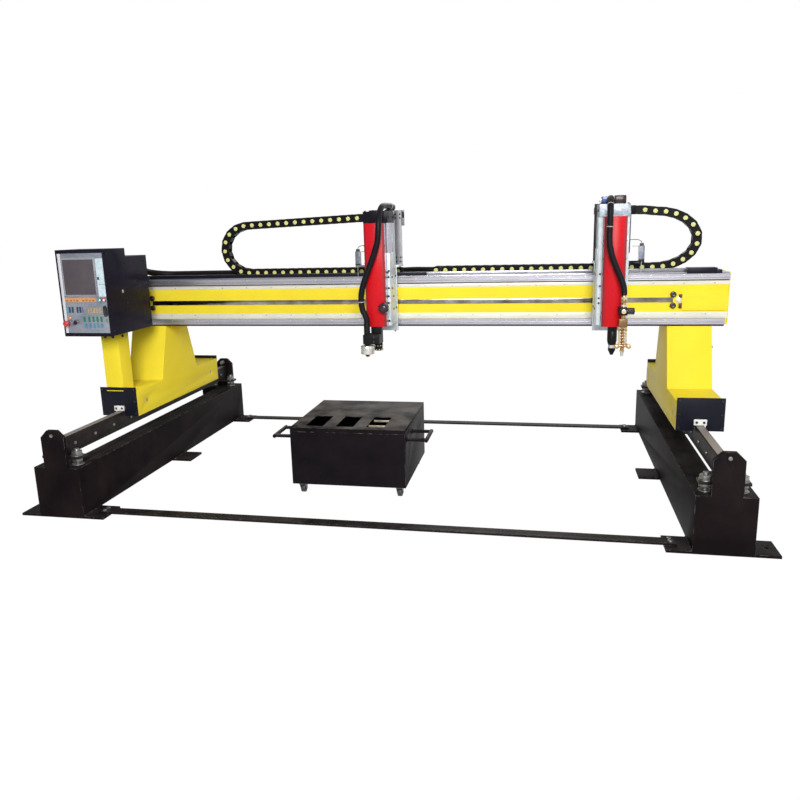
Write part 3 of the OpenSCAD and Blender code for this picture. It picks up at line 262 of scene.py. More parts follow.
def select_only(*pieces):
    bpy.ops.object.select_all(action="DESELECT")
    for piece in pieces:
        piece.select_set(True)
    bpy.context.view_layer.objects.active = pieces[0]


def modified(piece, kind, **settings):
    """The piece with one modifier added and applied."""
    select_only(piece)
    modifier = piece.modifiers.new(kind.lower(), kind)
    for key, value in settings.items():
        setattr(modifier, key, value)
    bpy.ops.object.modifier_apply(modifier=modifier.name)
    return piece


def shaded(piece, angle=35):
    select_only(piece)
    bpy.ops.object.shade_smooth_by_angle(angle=math.radians(angle))
    return piece


def coloured(piece, *finishes):
    """The piece in these finishes only; the first is everywhere until faces are painted."""
    piece.data.materials.clear()
    for one in finishes:
        piece.data.materials.append(one)
    return piece


def fit(piece, label, body, slot, finishes, *nodes):
    """Names a piece and hangs it on its body in place of the named frame parts. No finishes leaves its own."""
    piece.name = piece.data.name = label
    if finishes:
        coloured(piece, *(finishes if isinstance(finishes, (list, tuple)) else [finishes]))
    if body:
        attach(piece, body)
    if nodes:
        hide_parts(*nodes)
    return piece


def route_length(route):
    return sum((Vector(q) - Vector(p)).length for p, q in zip(route, route[1:]))


def spaced(path, count):
    """Even places along a path as (how far along, place), and how far along each of its own points is."""
    reach = [0.0]
    for p, q in zip(path, path[1:]):
        reach.append(reach[-1] + (q - p).length)
    places, j = [], 0
    for k in range(count + 1):
        at = reach[-1] * k / count
        while j < len(path) - 2 and reach[j + 1] < at:
            j += 1
        share = (at - reach[j]) / max(reach[j + 1] - reach[j], 1e-9)
        places.append((at, path[j].lerp(path[j + 1], min(max(share, 0), 1))))
    return places, reach


def smooth_route(points, step):
    """The route's points joined by an even curve, one place about every step metres."""
    points = [Vector(p) for p in points]
    dense = []
    for i in range(len(points) - 1):
        a, b, c, d = points[max(i - 1, 0)], points[i], points[i + 1], points[min(i + 2, len(points) - 1)]
        for k in range(24):
            t = k / 24
            dense.append(0.5 * (2 * b + (c - a) * t + (2 * a - 5 * b + 4 * c - d) * t * t
                                + (3 * b - a - 3 * c + d) * t ** 3))
    dense.append(points[-1])
    return [place for _, place in spaced(dense, max(2, round(route_length(dense) / step)))[0]]


def ribbed_tube(route, radius, rib_depth, sides=20):
    """A closed tube along a route. Its rings alternate between the full radius and the rib's root."""
    vertices, faces = [], []
    across = Vector((1, 0.01, 0.02))
    route = [Vector(point) for point in route]
    for i, centre in enumerate(route):
        along = (route[min(i + 1, len(route) - 1)] - route[max(i - 1, 0)]).normalized()
        across = (across - across.dot(along) * along).normalized()
        other = along.cross(across)
        size = radius - (rib_depth if i % 4 in (2, 3) else 0.0)
        for k in range(sides):
            turn = 2 * math.pi * k / sides
            vertices.append(centre + size * (math.cos(turn) * across + math.sin(turn) * other))
    for i in range(len(route) - 1):
        for k in range(sides):
            a, b = i * sides + k, i * sides + (k + 1) % sides
            faces.append((a, b, b + sides, a + sides))
    faces.append(tuple(reversed(range(sides))))
    last = (len(route) - 1) * sides
    faces.append(tuple(last + k for k in range(sides)))
    mesh = bpy.data.meshes.new("tube")
    mesh.from_pydata(vertices, [], faces)
    tube = bpy.data.objects.new("tube", mesh)
    scene.collection.objects.link(tube)
    return shaded(tube, 50)


GANTRY_Y = 0.1135         # how far the gantry's middle stands behind the tracks' middle


def in_metres(route):
    """Millimetre points in the gantry's own frame, whose Y starts at the gantry's middle."""
    return [(x / 1000, (y + 1000 * GANTRY_Y) / 1000, z / 1000) for x, y, z in route]


hose_rubber = finish("hose_rubber", (0.007, 0.006, 0.007), 0.42, shine=0.10, tone=0.15, marks=90, relief=0.015,
                     dusty=0.15)
conduit_rubber = finish("conduit_rubber", (0.009, 0.008, 0.011), 0.34, shine=0.12, tone=0.15, marks=140,
                        relief=0.01, dusty=0.1)
SUPPLY_D = 0.036
TORCH_HOSE_D = 0.030
supply_points = in_metres((
    (-1530, -235, 1150), (-1530, -190, 1150), (-1530, -140, 1144), (-1530, -84, 1129), (-1519, -27, 1112),
    (-1486, 22, 1101), (-1437, 55, 1095), (-1380, 66, 1093.5), (-1200, 66, 1093.5), (-1000, 66, 1093.5),
    (-800, 66, 1093.5), (-600, 66, 1093.5), (-400, 66, 1093.5), (-200, 66, 1093.5), (-60, 66, 1093.5),
    (-8, 66, 1094), (40, 57, 1096), (90, 29, 1098), (135, 6, 1098), (165, 0, 1098), (191.9, 0, 1098)))
left_points = in_metres((
    (-189.1, 0, 1388), (-165, 0, 1388.5), (-119, -9, 1396), (-80, -35, 1410), (-48, -68, 1424),
    (-24, -105, 1433), (-15, -150, 1439), (-16, -195, 1441), (-22, -240, 1441.5), (-29, -290, 1441),
    (-33, -333, 1432), (-35, -372, 1406), (-36, -397, 1367), (-37, -406, 1321), (-43, -407, 1265),
    (-60, -407, 1212), (-83, -407, 1155), (-106, -407, 1098), (-127, -407, 1040), (-137, -407, 985),
    (-133, -407, 932), (-119, -407, 898), (-112, -407, 878), (-112, -407, 860.3)))
right_points = in_metres((
    (1220.1, 0, 1388), (1196, 0, 1388.5), (1150, -9, 1396), (1111, -35, 1410), (1085, -74, 1425),
    (1077, -120, 1435), (1079, -180, 1440), (1081, -235, 1441), (1080, -286, 1441), (1076, -332, 1432),
    (1073, -371, 1406), (1071, -397, 1367), (1070, -406, 1321), (1069, -407, 1270), (1073, -408, 1220),
    (1086, -410, 1170), (1106, -413, 1120), (1126, -416, 1075), (1140, -419, 1035), (1144, -420, 1010),
    (1144, -420, 991.9)))

supply_route = smooth_route(supply_points, 0.012)
supply = ribbed_tube(supply_route, SUPPLY_D / 2, 0.0)
fit(supply, "supply_bundle", "gantry", "hose_rubber", hose_rubber, "supply_hose")

hose_routes = {}
for side, points, rib in (("left", left_points, 0.0), ("right", right_points, 0.0016)):
    route = smooth_route(points, 0.0022 if rib else 0.008)
    tube = ribbed_tube(route, TORCH_HOSE_D / 2, rib)
    fit(tube, side + "_torch_conduit", None, "hose_rubber", conduit_rubber, side + "_torch_hose")
    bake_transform(tube)
    hose_routes[side] = route


# ---- Tracks ----------------------------------------------------------------------------------------------
# Two welded box beams on foot plates, with end blocks and stop plates, painted satin black. Square rails
# stand above them on levelling nuts, racked on their outer sides, rubbed bright where the wheels run and
# painted lighter along that band as a painted highlight.
def rounded(part, edge, angle=35, segments=2):
    """A copy of the frame's part, joined up and with its sharp edges rounded as on the finished piece."""
    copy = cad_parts[part].copy()
    copy.data = copy.data.copy()
    copy.parent = None
    for key in list(copy.keys()):
        del copy[key]
    scene.collection.objects.link(copy)
    select_only(copy)
    bpy.ops.object.mode_set(mode="EDIT")
    bpy.ops.mesh.select_all(action="SELECT")
    bpy.ops.mesh.remove_doubles(threshold=0.00002)
    bpy.ops.mesh.dissolve_limited(angle_limit=math.radians(2))
    bpy.ops.object.mode_set(mode="OBJECT")
    if edge:
        modified(copy, "BEVEL", width=edge, segments=segments, limit_method="ANGLE",
                 angle_limit=math.radians(angle), use_clamp_overlap=True)
    return shaded(copy, angle)


def part_box(corner, opposite, edge=0.0, segments=2):
    """A block between two opposite corners, with rounded edges."""
    bpy.ops.object.select_all(action="DESELECT")
    middle = [(a + b) / 2 for a, b in zip(corner, opposite)]
    bpy.ops.mesh.primitive_cube_add(size=1, location=middle,
                                    scale=[abs(b - a) for a, b in zip(corner, opposite)])
    made = bpy.context.object
    bpy.ops.object.transform_apply(location=True, rotation=True, scale=True)
    if edge:
        modified(made, "BEVEL", width=edge, segments=segments, limit_method="NONE", use_clamp_overlap=True)
    return shaded(made)


AXES = {"X": (1, 0, 0), "Y": (0, 1, 0), "Z": (0, 0, 1)}


def laid_along(direction):
    """The turn that lays a +Z piece along a direction."""
    return direction.to_track_quat("Z", "Y").to_matrix().to_4x4()


def part_turned(start, axis, profile, sides=24):
    """A turned piece: rings of (distance along the axis, radius), from a filled disc pulled out and scaled."""
    direction = Vector(AXES[axis[-1]]) * (-1 if axis[0] == "-" else 1)
    bpy.ops.object.select_all(action="DESELECT")
    bpy.ops.mesh.primitive_circle_add(vertices=sides, radius=profile[0][1], fill_type="NGON")
    made = bpy.context.object
    bpy.ops.object.mode_set(mode="EDIT")
    bpy.ops.mesh.select_all(action="SELECT")
    reach, size = profile[0]
    for along, radius in profile[1:]:
        bpy.ops.mesh.extrude_region_move(TRANSFORM_OT_translate={"value": (0, 0, along - reach)})
        bpy.ops.transform.resize(value=(radius / size, radius / size, 1),
                                 center_override=(0, 0, along - profile[0][0]))
        reach, size = along, radius
    bpy.ops.mesh.select_all(action="SELECT")
    bpy.ops.mesh.normals_make_consistent(inside=False)
    bpy.ops.object.mode_set(mode="OBJECT")
    made.data.transform(laid_along(direction))
    made.data.transform(Matrix.Translation(Vector(start) + direction * profile[0][0]))
    return shaded(made, 40)


def part_plate(outline, plane, at, thick, edge=0.0, segments=2):
    """A flat plate: an outline in the XZ, YZ or XY plane, pulled out from at by thick."""
    bpy.ops.object.select_all(action="DESELECT")
    bpy.ops.mesh.primitive_circle_add(vertices=len(outline), radius=1, fill_type="NGON")
    made = bpy.context.object
    for corner, (a, b) in zip(made.data.vertices, outline):
        corner.co = {"XZ": (a, at, b), "YZ": (at, a, b), "XY": (a, b, at)}[plane]
    pull = {"XZ": (0, thick, 0), "YZ": (thick, 0, 0), "XY": (0, 0, thick)}[plane]
    bpy.ops.object.mode_set(mode="EDIT")
    bpy.ops.mesh.select_all(action="SELECT")
    bpy.ops.mesh.extrude_region_move(TRANSFORM_OT_translate={"value": pull})
    bpy.ops.mesh.select_all(action="SELECT")
    bpy.ops.mesh.normals_make_consistent(inside=False)
    bpy.ops.object.mode_set(mode="OBJECT")
    if edge:
        modified(made, "BEVEL", width=edge, segments=segments, limit_method="ANGLE",
                 angle_limit=math.radians(35), use_clamp_overlap=True)
    return shaded(made)


def dressed(part, edge, label, body, slot, finishes, **shape):
    """The frame's part with its edges rounded, in its own finish, in place of the plain one."""
    return fit(rounded(part, edge, **shape), label, body, slot, finishes, part)


def joined(pieces):
    """One mesh from several, each copied out to its own place already."""
    select_only(*pieces)
    if len(pieces) > 1:
        bpy.ops.object.join()
    return bpy.context.view_layer.objects.active


def repeated(pattern, moves):
    """The pattern piece once for each move, which is a shift or a full placing, all in one mesh."""
    copies = []
    for move in moves:
        copy = pattern.copy()
        copy.data = pattern.data.copy()
        copy.data.transform(move if isinstance(move, Matrix) else Matrix.Translation(Vector(move)))
        scene.collection.objects.link(copy)
        copies.append(copy)
    bpy.data.objects.remove(pattern)
    return joined(copies)


def painted(piece, index, low, high):
    """Gives the faces whose middles lie in a box the piece's finish of that number."""
    for face in piece.data.polygons:
        if all(a <= c <= b for a, c, b in zip(low, face.center, high)):
            face.material_index = index


def socket_screw(radius, height):
    """A cap screw head with a hexagon socket, standing on the XY plane."""
    head = part_turned((0, 0, 0), "Z", ((0, radius), (height * 0.85, radius), (height, radius * 0.86)), 16)
    select_only(head)
    bpy.ops.object.mode_set(mode="EDIT")
    bpy.ops.mesh.select_all(action="DESELECT")
    bpy.ops.object.mode_set(mode="OBJECT")
    top = max(head.data.polygons, key=lambda face: face.center.z)
    top.select = True
    bpy.ops.object.mode_set(mode="EDIT")
    bpy.ops.mesh.inset(thickness=radius * 0.36)
    bpy.ops.mesh.extrude_region_move(TRANSFORM_OT_translate={"value": (0, 0, -height * 0.5)})
    bpy.ops.object.mode_set(mode="OBJECT")
    return head


FRONT = Matrix.Rotation(math.radians(90), 4, "X")      # stands a +Z piece on a face that looks to -Y
RIGHT = Matrix.Rotation(math.radians(90), 4, "Y")      # ... to +X
LEFT = Matrix.Rotation(math.radians(-90), 4, "Y")      # ... to -X


def standing(turn, places):
    """Placings for copies of a +Z piece, all turned the same way."""
    return [Matrix.Translation(Vector(place)) @ turn for place in places]


black_paint = finish("track_black", (0.006, 0.0045, 0.006), 0.50, shine=0.03, tone=0.22, tone_scale=3,
                     marks=420, mark_tone=0.12, relief=0.035, worn=0.55, worn_width=0.004, dusty=0.08,
                     second=(0.015, 0.010, 0.010))
bar_black = finish("tie_bar_black", (0.010, 0.008, 0.009), 0.48, shine=0.12, tone=0.25, tone_scale=7,
                   marks=(60, 500, 500), mark_tone=0.15, relief=0.04, worn=0.7, dusty=0.1)
rail_steel = finish("rail_steel", (0.014, 0.011, 0.011), 0.46, metal=0.3, shine=0.2, tone=0.2, tone_scale=9,
                    marks=(500, 40, 500), mark_tone=0.25, relief=0.03, second=(0.030, 0.024, 0.022))
rack_steel = finish("rack_steel", (0.10, 0.095, 0.09), 0.35, metal=0.85, tone=0.2, tone_scale=16, marks=400,
                    mark_tone=0.2, worn=0.5, worn_width=0.0015)
zinc = finish("zinc_plate", (0.62, 0.61, 0.57), 0.30, metal=1.0, tone=0.18, tone_scale=40, marks=350,
              mark_tone=0.15, second=(0.50, 0.48, 0.42))
zinc_dull = finish("zinc_dull", (0.28, 0.28, 0.27), 0.40, metal=0.8, tone=0.22, tone_scale=40, marks=350,
                   mark_tone=0.15, second=(0.24, 0.24, 0.23))

# the rail's crown: rubbed bright along the line where the wheels run, and painted lighter there as a painted
# highlight on the top face
HALF_GAUGE = 1.5
crown = rail_steel.node_tree
crown_place = node(crown, "ShaderNodeSeparateXYZ", {0: node(crown, "ShaderNodeTexCoord").outputs["Object"]})
from_middle = maths(crown, "ABSOLUTE", crown_place.outputs["X"])
from_line = maths(crown, "ABSOLUTE", maths(crown, "SUBTRACT", from_middle, HALF_GAUGE))
on_top = ranged(crown, crown_place.outputs["Z"], 0.3845, 0.3855)
run = maths(crown, "MULTIPLY", ranged(crown, from_line, 0.019, 0.015), on_top)
crown_body = crown.nodes["Principled BSDF"]
crown_colour = crown_body.inputs["Base Color"].links[0].from_socket
crown.links.new(mixed(crown, run, crown_colour, (0.34, 0.30, 0.27, 1)), crown_body.inputs["Base Color"])

for side in ("left", "right"):
    dressed("track_" + side, 0.0025, side + "_track", "root", "black_paint", black_paint)
dressed("track_rails", 0.0012, "running_rails", "root", "rail_steel", rail_steel)
dressed("tie_bars", 0.0010, "tie_bars", "root", "black_paint", bar_black)
dressed("track_bolts", 0.0010, "track_fasteners", "root", "zinc_plate", zinc_dull)
dressed("gear_racks", 0.0004, "rail_racks", "root", "gear_steel", rack_steel)


def weld_bead(length, ripples, low, high):
    """A rippled fillet weld, lying along Z from the origin."""
    return part_turned((0, 0, 0), "Z",
                       [(length * k / ripples, high if k % 2 else low) for k in range(ripples + 1)], 8)


# fillet welds round the foot plates and up the end blocks, and a flat washer under every levelling nut
FOOT_TOP, FOOT_LEN, TRACK_HALF, BLOCK_HALF = 0.012, 0.145, 0.960, 0.119
weld_lines = []
for x_side in (-1, 1):
    inner, outer = x_side * (HALF_GAUGE - BLOCK_HALF), x_side * (HALF_GAUGE + BLOCK_HALF)
    for y_side in (-1, 1):
        end = y_side * TRACK_HALF
        back = end - y_side * FOOT_LEN
        near = end - y_side * 0.004
        weld_lines += [((outer, near), (outer, back)), ((inner, near), (inner, back)),
                       ((inner + x_side * 0.117, back), (outer, back))]
    weld_lines.append(((inner, -0.0725), (inner, 0.0725)))
beads = []
for start, end in weld_lines:
    way = Vector((end[0] - start[0], end[1] - start[1], 0))
    bead = weld_bead(way.length, max(3, round(way.length / 0.006)), 0.0044, 0.0052)
    bead.data.transform(Matrix.Translation((*start, FOOT_TOP)) @ laid_along(way))
    beads.append(bead)
fit(joined(beads), "foot_welds", "root", "black_paint", black_paint)

washer = part_turned((0, 0, 0), "Z", ((0, 0.029), (0.0022, 0.029), (0.0028, 0.0285)), 24)
washers = repeated(washer, [(sx * (HALF_GAUGE + dx), sy * 0.8875, z) for sx in (-1, 1) for sy in (-1, 1)
                            for dx in (-0.07, 0.07) for z in (0.2962, 0.252)])
fit(washers, "levelling_washers", "root", "zinc_plate", zinc_dull)


# ---- Slag cart -------------------------------------------------------------------------------------------
# A welded sheet box on four swivelling casters, with three windows in its lid and a bent tube handle at each
# end. Loose pale steel slats lie across the right-hand window.
cart_black = finish("cart_black", (0.006, 0.0045, 0.006), 0.48, shine=0.07, tone=0.25, tone_scale=5, marks=260,
                    mark_tone=0.12, relief=0.04, worn=0.6, worn_width=0.003, dusty=0.50,
                    second=(0.010, 0.007, 0.009))
slat_steel = finish("slat_steel", (0.60, 0.55, 0.44), 0.45, metal=0.5, tone=0.25, tone_scale=30,
                    marks=(60, 400, 400), mark_tone=0.2, relief=0.03, second=(0.42, 0.36, 0.27))
caster_zinc = finish("caster_zinc", (0.13, 0.13, 0.135), 0.30, metal=0.8, tone=0.15, tone_scale=60,
                     mark_tone=0.1, relief=0.01)
caster_rubber = finish("caster_rubber", (0.035, 0.034, 0.036), 0.50, tone=0.2, tone_scale=40, mark_tone=0.1,
                       relief=0.03, dusty=0.3)
CART_LOW, CART_HIGH = Vector((-0.475, -0.526, 0.062)), Vector((0.115, 0.064, 0.361))
dressed("slag_cart", 0.0035, "cart_box", "root", "black_paint", cart_black, segments=3)
slats = [part_box((x, y, 0.3500), (x + 0.104, y + 0.012, 0.3578), 0.001)
         for x, y in ((-0.085, -0.445), (-0.081, -0.345))]
fit(joined(slats), "cart_slats", "root", "zinc_plate", slat_steel)
SEAM, SEAM_END = 0.0012, 0.0008
lid_seam = [part_box((*corner, 0.3385), (*opposite, 0.3405)) for corner, opposite in (
    ((CART_LOW.x + SEAM_END, CART_LOW.y - SEAM), (CART_HIGH.x - SEAM_END, CART_LOW.y)),
    ((CART_HIGH.x, CART_LOW.y + SEAM_END), (CART_HIGH.x + SEAM, CART_HIGH.y - SEAM_END)),
    ((CART_LOW.x - SEAM, CART_LOW.y + SEAM_END), (CART_LOW.x, CART_HIGH.y - SEAM_END)),
    ((CART_LOW.x + SEAM_END, CART_HIGH.y), (CART_HIGH.x - SEAM_END, CART_HIGH.y + SEAM)))]
fit(joined(lid_seam), "cart_lid_seam", "root", "black_paint", cart_black)
flanges = [part_turned((x, -0.396 + y, 0.300), axis, ((0.0, 0.016), (0.0025, 0.016), (0.0065, 0.0105)), 20)
           for x, axis in ((CART_HIGH.x, "X"), (CART_LOW.x, "-X")) for y in (-0.077, 0.077)]
fit(joined(flanges), "cart_handle_welds", "root", "black_paint", cart_black)
CORNERS = ("front_left", "front_right", "rear_left", "rear_right")
for corner in CORNERS:
    fork, rolling = "caster_fork_" + corner, "caster_wheel_" + corner
    dressed(fork, 0.0010, fork + "_finish", fork, "zinc_plate", caster_zinc)
    low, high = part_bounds(rolling)
    centre = (low + high) / 2
    tyre = part_turned((low.x, centre.y, centre.z), "X",
                       ((0.0010, 0.0125), (0.0010, 0.0195), (0.0, 0.0215), (0.0035, 0.0230), (0.0185, 0.0230),
                        (0.0220, 0.0215), (0.0210, 0.0195), (0.0210, 0.0125)), 32)
    hubs = [part_turned((low.x + at, centre.y, centre.z), axis,
                        ((0.0, 0.0122), (0.0016, 0.0110), (0.0016, 0.0060), (0.0030, 0.0052)), 20)
            for at, axis in ((0.0016, "-X"), (0.0204, "X"))]
    wheel = joined([tyre, *hubs])
    painted(wheel, 1, (-9, -9, centre.z - 0.0121), (9, 9, centre.z + 0.0121))
    fit(wheel, "caster_tyre_" + corner, rolling, "wheel_rubber", [caster_rubber, caster_zinc], rolling)


# ---- End carriages ---------------------------------------------------------------------------------------
# Two welded inverted-U carriages with hollow trapezoid legs, in yellow enamel, closed at their ends by black
# sheet covers with felt wipers for the rail. The left one carries the cabinet's post. Steel wheels inside.
yellow_enamel = finish("yellow_enamel", (0.93, 0.76, 0.045), 0.33, tone=0.05, tone_scale=2.2, marks=240,
                       mark_tone=0.025, worn=0.35, worn_width=0.0025, shine=0.04, second=(0.91, 0.71, 0.040))
cover_black = finish("cover_black", (0.010, 0.010, 0.018), 0.38, shine=0.12, tone=0.15, tone_scale=5,
                     marks=320, mark_tone=0.08, relief=0.03, worn=0.4, dusty=0.15)
wheel_steel = finish("wheel_steel", (0.34, 0.33, 0.32), 0.30, metal=1.0, tone=0.15, tone_scale=20,
                     marks=(30, 500, 500), mark_tone=0.15, worn=0.3)
motor_black = finish("motor_black", (0.014, 0.014, 0.015), 0.42, shine=0.3, tone=0.15, tone_scale=20,
                     mark_tone=0.08, relief=0.04, worn=0.4, worn_width=0.0012, dusty=0.12)
screw_black = finish("screw_black", (0.022, 0.021, 0.020), 0.32, metal=0.4, tone=0.2, tone_scale=80,
                     relief=0.01, worn=0.3, worn_width=0.0008)
wiper_white = finish("wiper_white", (0.78, 0.78, 0.74), 0.60, tone=0.08, tone_scale=40, mark_tone=0.06,
                     relief=0.05, dusty=0.1)
for side in ("left", "right"):
    dressed("end_carriage_" + side, 0.0025, "end_carriage_body_" + side, "gantry", "yellow_paint",
            yellow_enamel)
dressed("carriage_covers", 0.0010, "end_carriage_covers", "gantry", "black_paint", cover_black)

# screws down the end covers and on the outer sides, then the felt wipers with theirs
COVER_FACE, CARRIAGE_SIDE = 0.503, 1.6075
places = []
for sx in (-1, 1):
    for sy, turn in ((-1, FRONT), (1, FRONT.inverted())):
        places += standing(turn, [(sx * HALF_GAUGE + dx, GANTRY_Y + sy * COVER_FACE, z)
                                  for dx in (-0.094, 0.094) for z in (0.374, 0.440, 0.506)])
for y in (GANTRY_Y - 0.30, GANTRY_Y + 0.30):
    for z in (0.39, 0.47):
        for sx, turn in ((-1, LEFT), (1, RIGHT)):
            places += standing(turn, [(sx * CARRIAGE_SIDE, y, z)])
fit(repeated(socket_screw(0.0055, 0.0045), places), "cover_screws", "gantry", "zinc_plate", screw_black)
wipers, wiper_screws = [], []
for sx in (-1, 1):
    x = sx * HALF_GAUGE
    for sy in (-1, 1):
        face = GANTRY_Y + sy * COVER_FACE
        wipers.append(part_box((x - 0.029, face, 0.3895), (x + 0.029, face + sy * 0.009, 0.4180), 0.0015))
        wiper_screws += [part_turned((x + dx, face + sy * 0.0085, 0.4035), "-Y" if sy < 0 else "Y",
                                     ((0.0, 0.0062), (0.0009, 0.0062), (0.0012, 0.0058)), 16)
                         for dx in (-0.0165, 0.0165)]
fit(joined(wipers), "rail_wipers", "gantry", "panel_paint", wiper_white)
fit(joined(wiper_screws), "rail_wiper_screws", "gantry", "zinc_plate", screw_black)

# weld beads where the legs meet the carriages, and the post's foot
LEG_FOOT = 0.5005
beads = []
for x, y, length, ripples, low, high in (
    *((sx * HALF_GAUGE - 0.1055, GANTRY_Y + dy, 0.211, 30, 0.0040, 0.0048)
      for sx in (-1, 1) for dy in (-0.217, 0.217)),
    (-1.567, -0.3865, 0.100, 16, 0.0035, 0.0042), (-1.567, -0.2865, 0.100, 16, 0.0035, 0.0042),
):
    bead = weld_bead(length, ripples, low, high)
    bead.data.transform(Matrix.Translation((x, y, LEG_FOOT)) @ RIGHT)
    beads.append(bead)
fit(joined(beads), "leg_welds", "gantry", "yellow_paint", yellow_enamel)

# the post's two cabinet bolts at the front and one on its right side, and an earth bolt on the right carriage
post_bolt = ((0, 0.0085), (0.0015, 0.0085), (0.0015, 0.0065), (0.0070, 0.0065), (0.0078, 0.0055))
bolts = [part_turned(place, axis, post_bolt, 6) for place, axis in (
    ((-1.541, -0.3865, 0.797), "-Y"), ((-1.496, -0.3865, 0.797), "-Y"), ((-1.467, -0.345, 0.797), "X"))]
bolts.append(part_turned((CARRIAGE_SIDE, -0.02, 0.700), "X",
                         ((0, 0.0075), (0.0012, 0.0075), (0.0012, 0.0055), (0.0065, 0.0050)), 12))
fit(joined(bolts), "post_bolts", "gantry", "zinc_plate", screw_black)

for corner in CORNERS:
    name = "rail_wheel_" + corner
    dressed(name, 0.0008, name + "_finish", name, "rail_steel", wheel_steel, angle=30)
dressed("gantry_motors", 0.0010, "gantry_drive_motors", "gantry", "black_plastic", motor_black)
gear_oiled = finish("gear_oiled", (0.22, 0.21, 0.20), 0.24, metal=1.0, tone=0.2, tone_scale=30, mark_tone=0.2,
                    worn=0.3, worn_width=0.0008)
for side in ("left", "right"):
    name = "drive_pinion_" + side
    dressed(name, 0.0002, name + "_finish", name, "gear_steel", gear_oiled)


# ---- Cross beam ------------------------------------------------------------------------------------------
# A hollow yellow box beam with milled pads for two ground guide rails, a rack behind its top edge, a thin
# steel band on its front that the carriages' shoes run past, and raised yellow guards at both ends.
BEAM_FRONT, BEAM_HALF = GANTRY_Y - 0.120, 1.675
dressed("cross_beam", 0.0030, "beam_box", "gantry", "yellow_paint", yellow_enamel)
pad_paint = finish("pad_white", (0.78, 0.77, 0.67), 0.35, metal=0.15, tone_scale=5, marks=(30, 400, 400),
                   mark_tone=0.05, relief=0.015)
guide_steel = finish("guide_steel", (0.53, 0.52, 0.57), 0.27, metal=0.85, tone_scale=6, marks=(2, 500, 900),
                     mark_tone=0.07, relief=0.008)
seal_black = finish("seal_black", (0.012, 0.012, 0.014), 0.45, tone=0.15, marks=(30, 400, 400))
pads = [part_box((-BEAM_HALF, BEAM_FRONT - 0.0012, low), (BEAM_HALF, BEAM_FRONT + 0.0004, high), 0.0004)
        for low, high in ((0.8455, 0.8760), (1.0140, 1.0330))]
fit(joined(pads), "guide_pads", "gantry", "panel_paint", pad_paint)
# thin dark strips just under both guide rails: painted shade beneath the rails
seals = [part_box((-1.663, BEAM_FRONT - 0.0017, 0.8045), (1.663, BEAM_FRONT - 0.0002, 0.8135), 0.0004),
         part_box((-BEAM_HALF, BEAM_FRONT - 0.0017, 1.0335), (BEAM_HALF, BEAM_FRONT - 0.0002, 1.0388), 0.0004)]
fit(joined(seals), "guide_seals", "gantry", "black_plastic", seal_black)

# guide rails: ground faces with a ball groove along the front, and a lower lip
section = ((0.0, 0.0), (0.005, 0.0), (0.009, 0.004), (0.013, 0.0), (0.0172, 0.0), (0.018, 0.0008),
           (0.018, 0.0085), (0.0155, 0.0105), (0.0155, 0.0125), (0.018, 0.0145), (0.018, 0.0292),
           (0.0172, 0.030), (0.013, 0.030), (0.009, 0.026), (0.005, 0.030), (0.0, 0.030))
rails = [part_plate([(BEAM_FRONT - out, low + up) for out, up in section], "YZ", -half, 2 * half)
         for low, half in ((0.815, 1.663), (1.039, BEAM_HALF))]
fit(joined(rails), "beam_guide_rails", "gantry", "bright_steel", guide_steel, "guide_rails")
plug = part_turned((0, 0, 0), "Z", ((0, 0.0040), (0.0003, 0.0040), (0.0004, 0.0036)), 12)
plugs = repeated(plug, standing(FRONT, [(x / 1000, BEAM_FRONT - 0.0179, z) for z in (0.8372, 1.0612)
                                      for x in range(-1580, 1600, 80)]))
fit(plugs, "guide_rail_plugs", "gantry", "bright_steel", zinc)
pad_screws = repeated(socket_screw(0.0038, 0.0014), standing(FRONT, [
    (x / 1000, BEAM_FRONT - 0.0012, z) for z, first in ((0.8668, -1640), (1.0208, -1604))
    for x in range(first, 1660, 146)]))
fit(pad_screws, "pad_screws", "gantry", "zinc_plate", zinc)

fit(rounded("beam_rack", 0.0003), "beam_rack_finish", "gantry", "gear_steel",
    finish("beam_rack_steel", (0.30, 0.30, 0.33), 0.30, metal=1.0, tone=0.12, tone_scale=12,
           marks=(30, 400, 400), mark_tone=0.12), "beam_rack")
tray = [part_box((1.473, BEAM_FRONT - 0.0190, 1.0695), (1.612, 0.0400, 1.0975), 0.0015),
        part_box((1.6125, BEAM_FRONT - 0.0175, 1.0695), (1.636, 0.0400, 1.0875), 0.0015)]
fit(joined(tray), "rack_end_cover", "gantry", "black_plastic", cover_black)
strip = part_box((-1.4700, -0.0006, 1.0757), (0.1560, 0.0009, 1.0950), 0.0003)
fit(strip, "rack_cover_strip", "gantry", "black_plastic", cover_black)
lip = part_box((-BEAM_HALF, BEAM_FRONT - 0.0012, 1.0690), (BEAM_HALF, BEAM_FRONT + 0.0060, 1.0757), 0.0006)
fit(lip, "guide_top_lip", "gantry", "bright_steel", guide_steel)

band_steel = finish("band_steel", (0.46, 0.43, 0.39), 0.16, metal=1.0, tone=0.30, tone_scale=5,
                    marks=(5, 300, 700), mark_tone=0.25, second=(0.16, 0.14, 0.11))
clamp_rubber = finish("clamp_black", (0.022, 0.014, 0.014), 0.30, tone=0.2, tone_scale=50, mark_tone=0.1,
                      coat=0.3)
BAND_LEFT, BAND_RIGHT = -1.462, 1.414
fit(part_box((BAND_LEFT, BEAM_FRONT - 0.0020, 0.9250), (BAND_RIGHT, BEAM_FRONT, 0.9500), 0.0003), "beam_band",
    "gantry", "bright_steel", band_steel, "steel_band")
clamps = [part_turned((x, BEAM_FRONT, 0.9375 + dz), "-Y",
                      ((0, 0.015), (0.0095, 0.015), (0.0122, 0.0138), (0.0135, 0.0115), (0.0138, 0.0060),
                       (0.0128, 0.0045)), 28) for x in (BAND_LEFT, BAND_RIGHT) for dz in (-0.028, 0.028)]
fit(joined(clamps), "band_clamps", "gantry", "black_plastic", clamp_rubber)
clip_white = finish("clip_zinc", (0.72, 0.70, 0.62), 0.30, metal=0.7, tone=0.12, tone_scale=40)
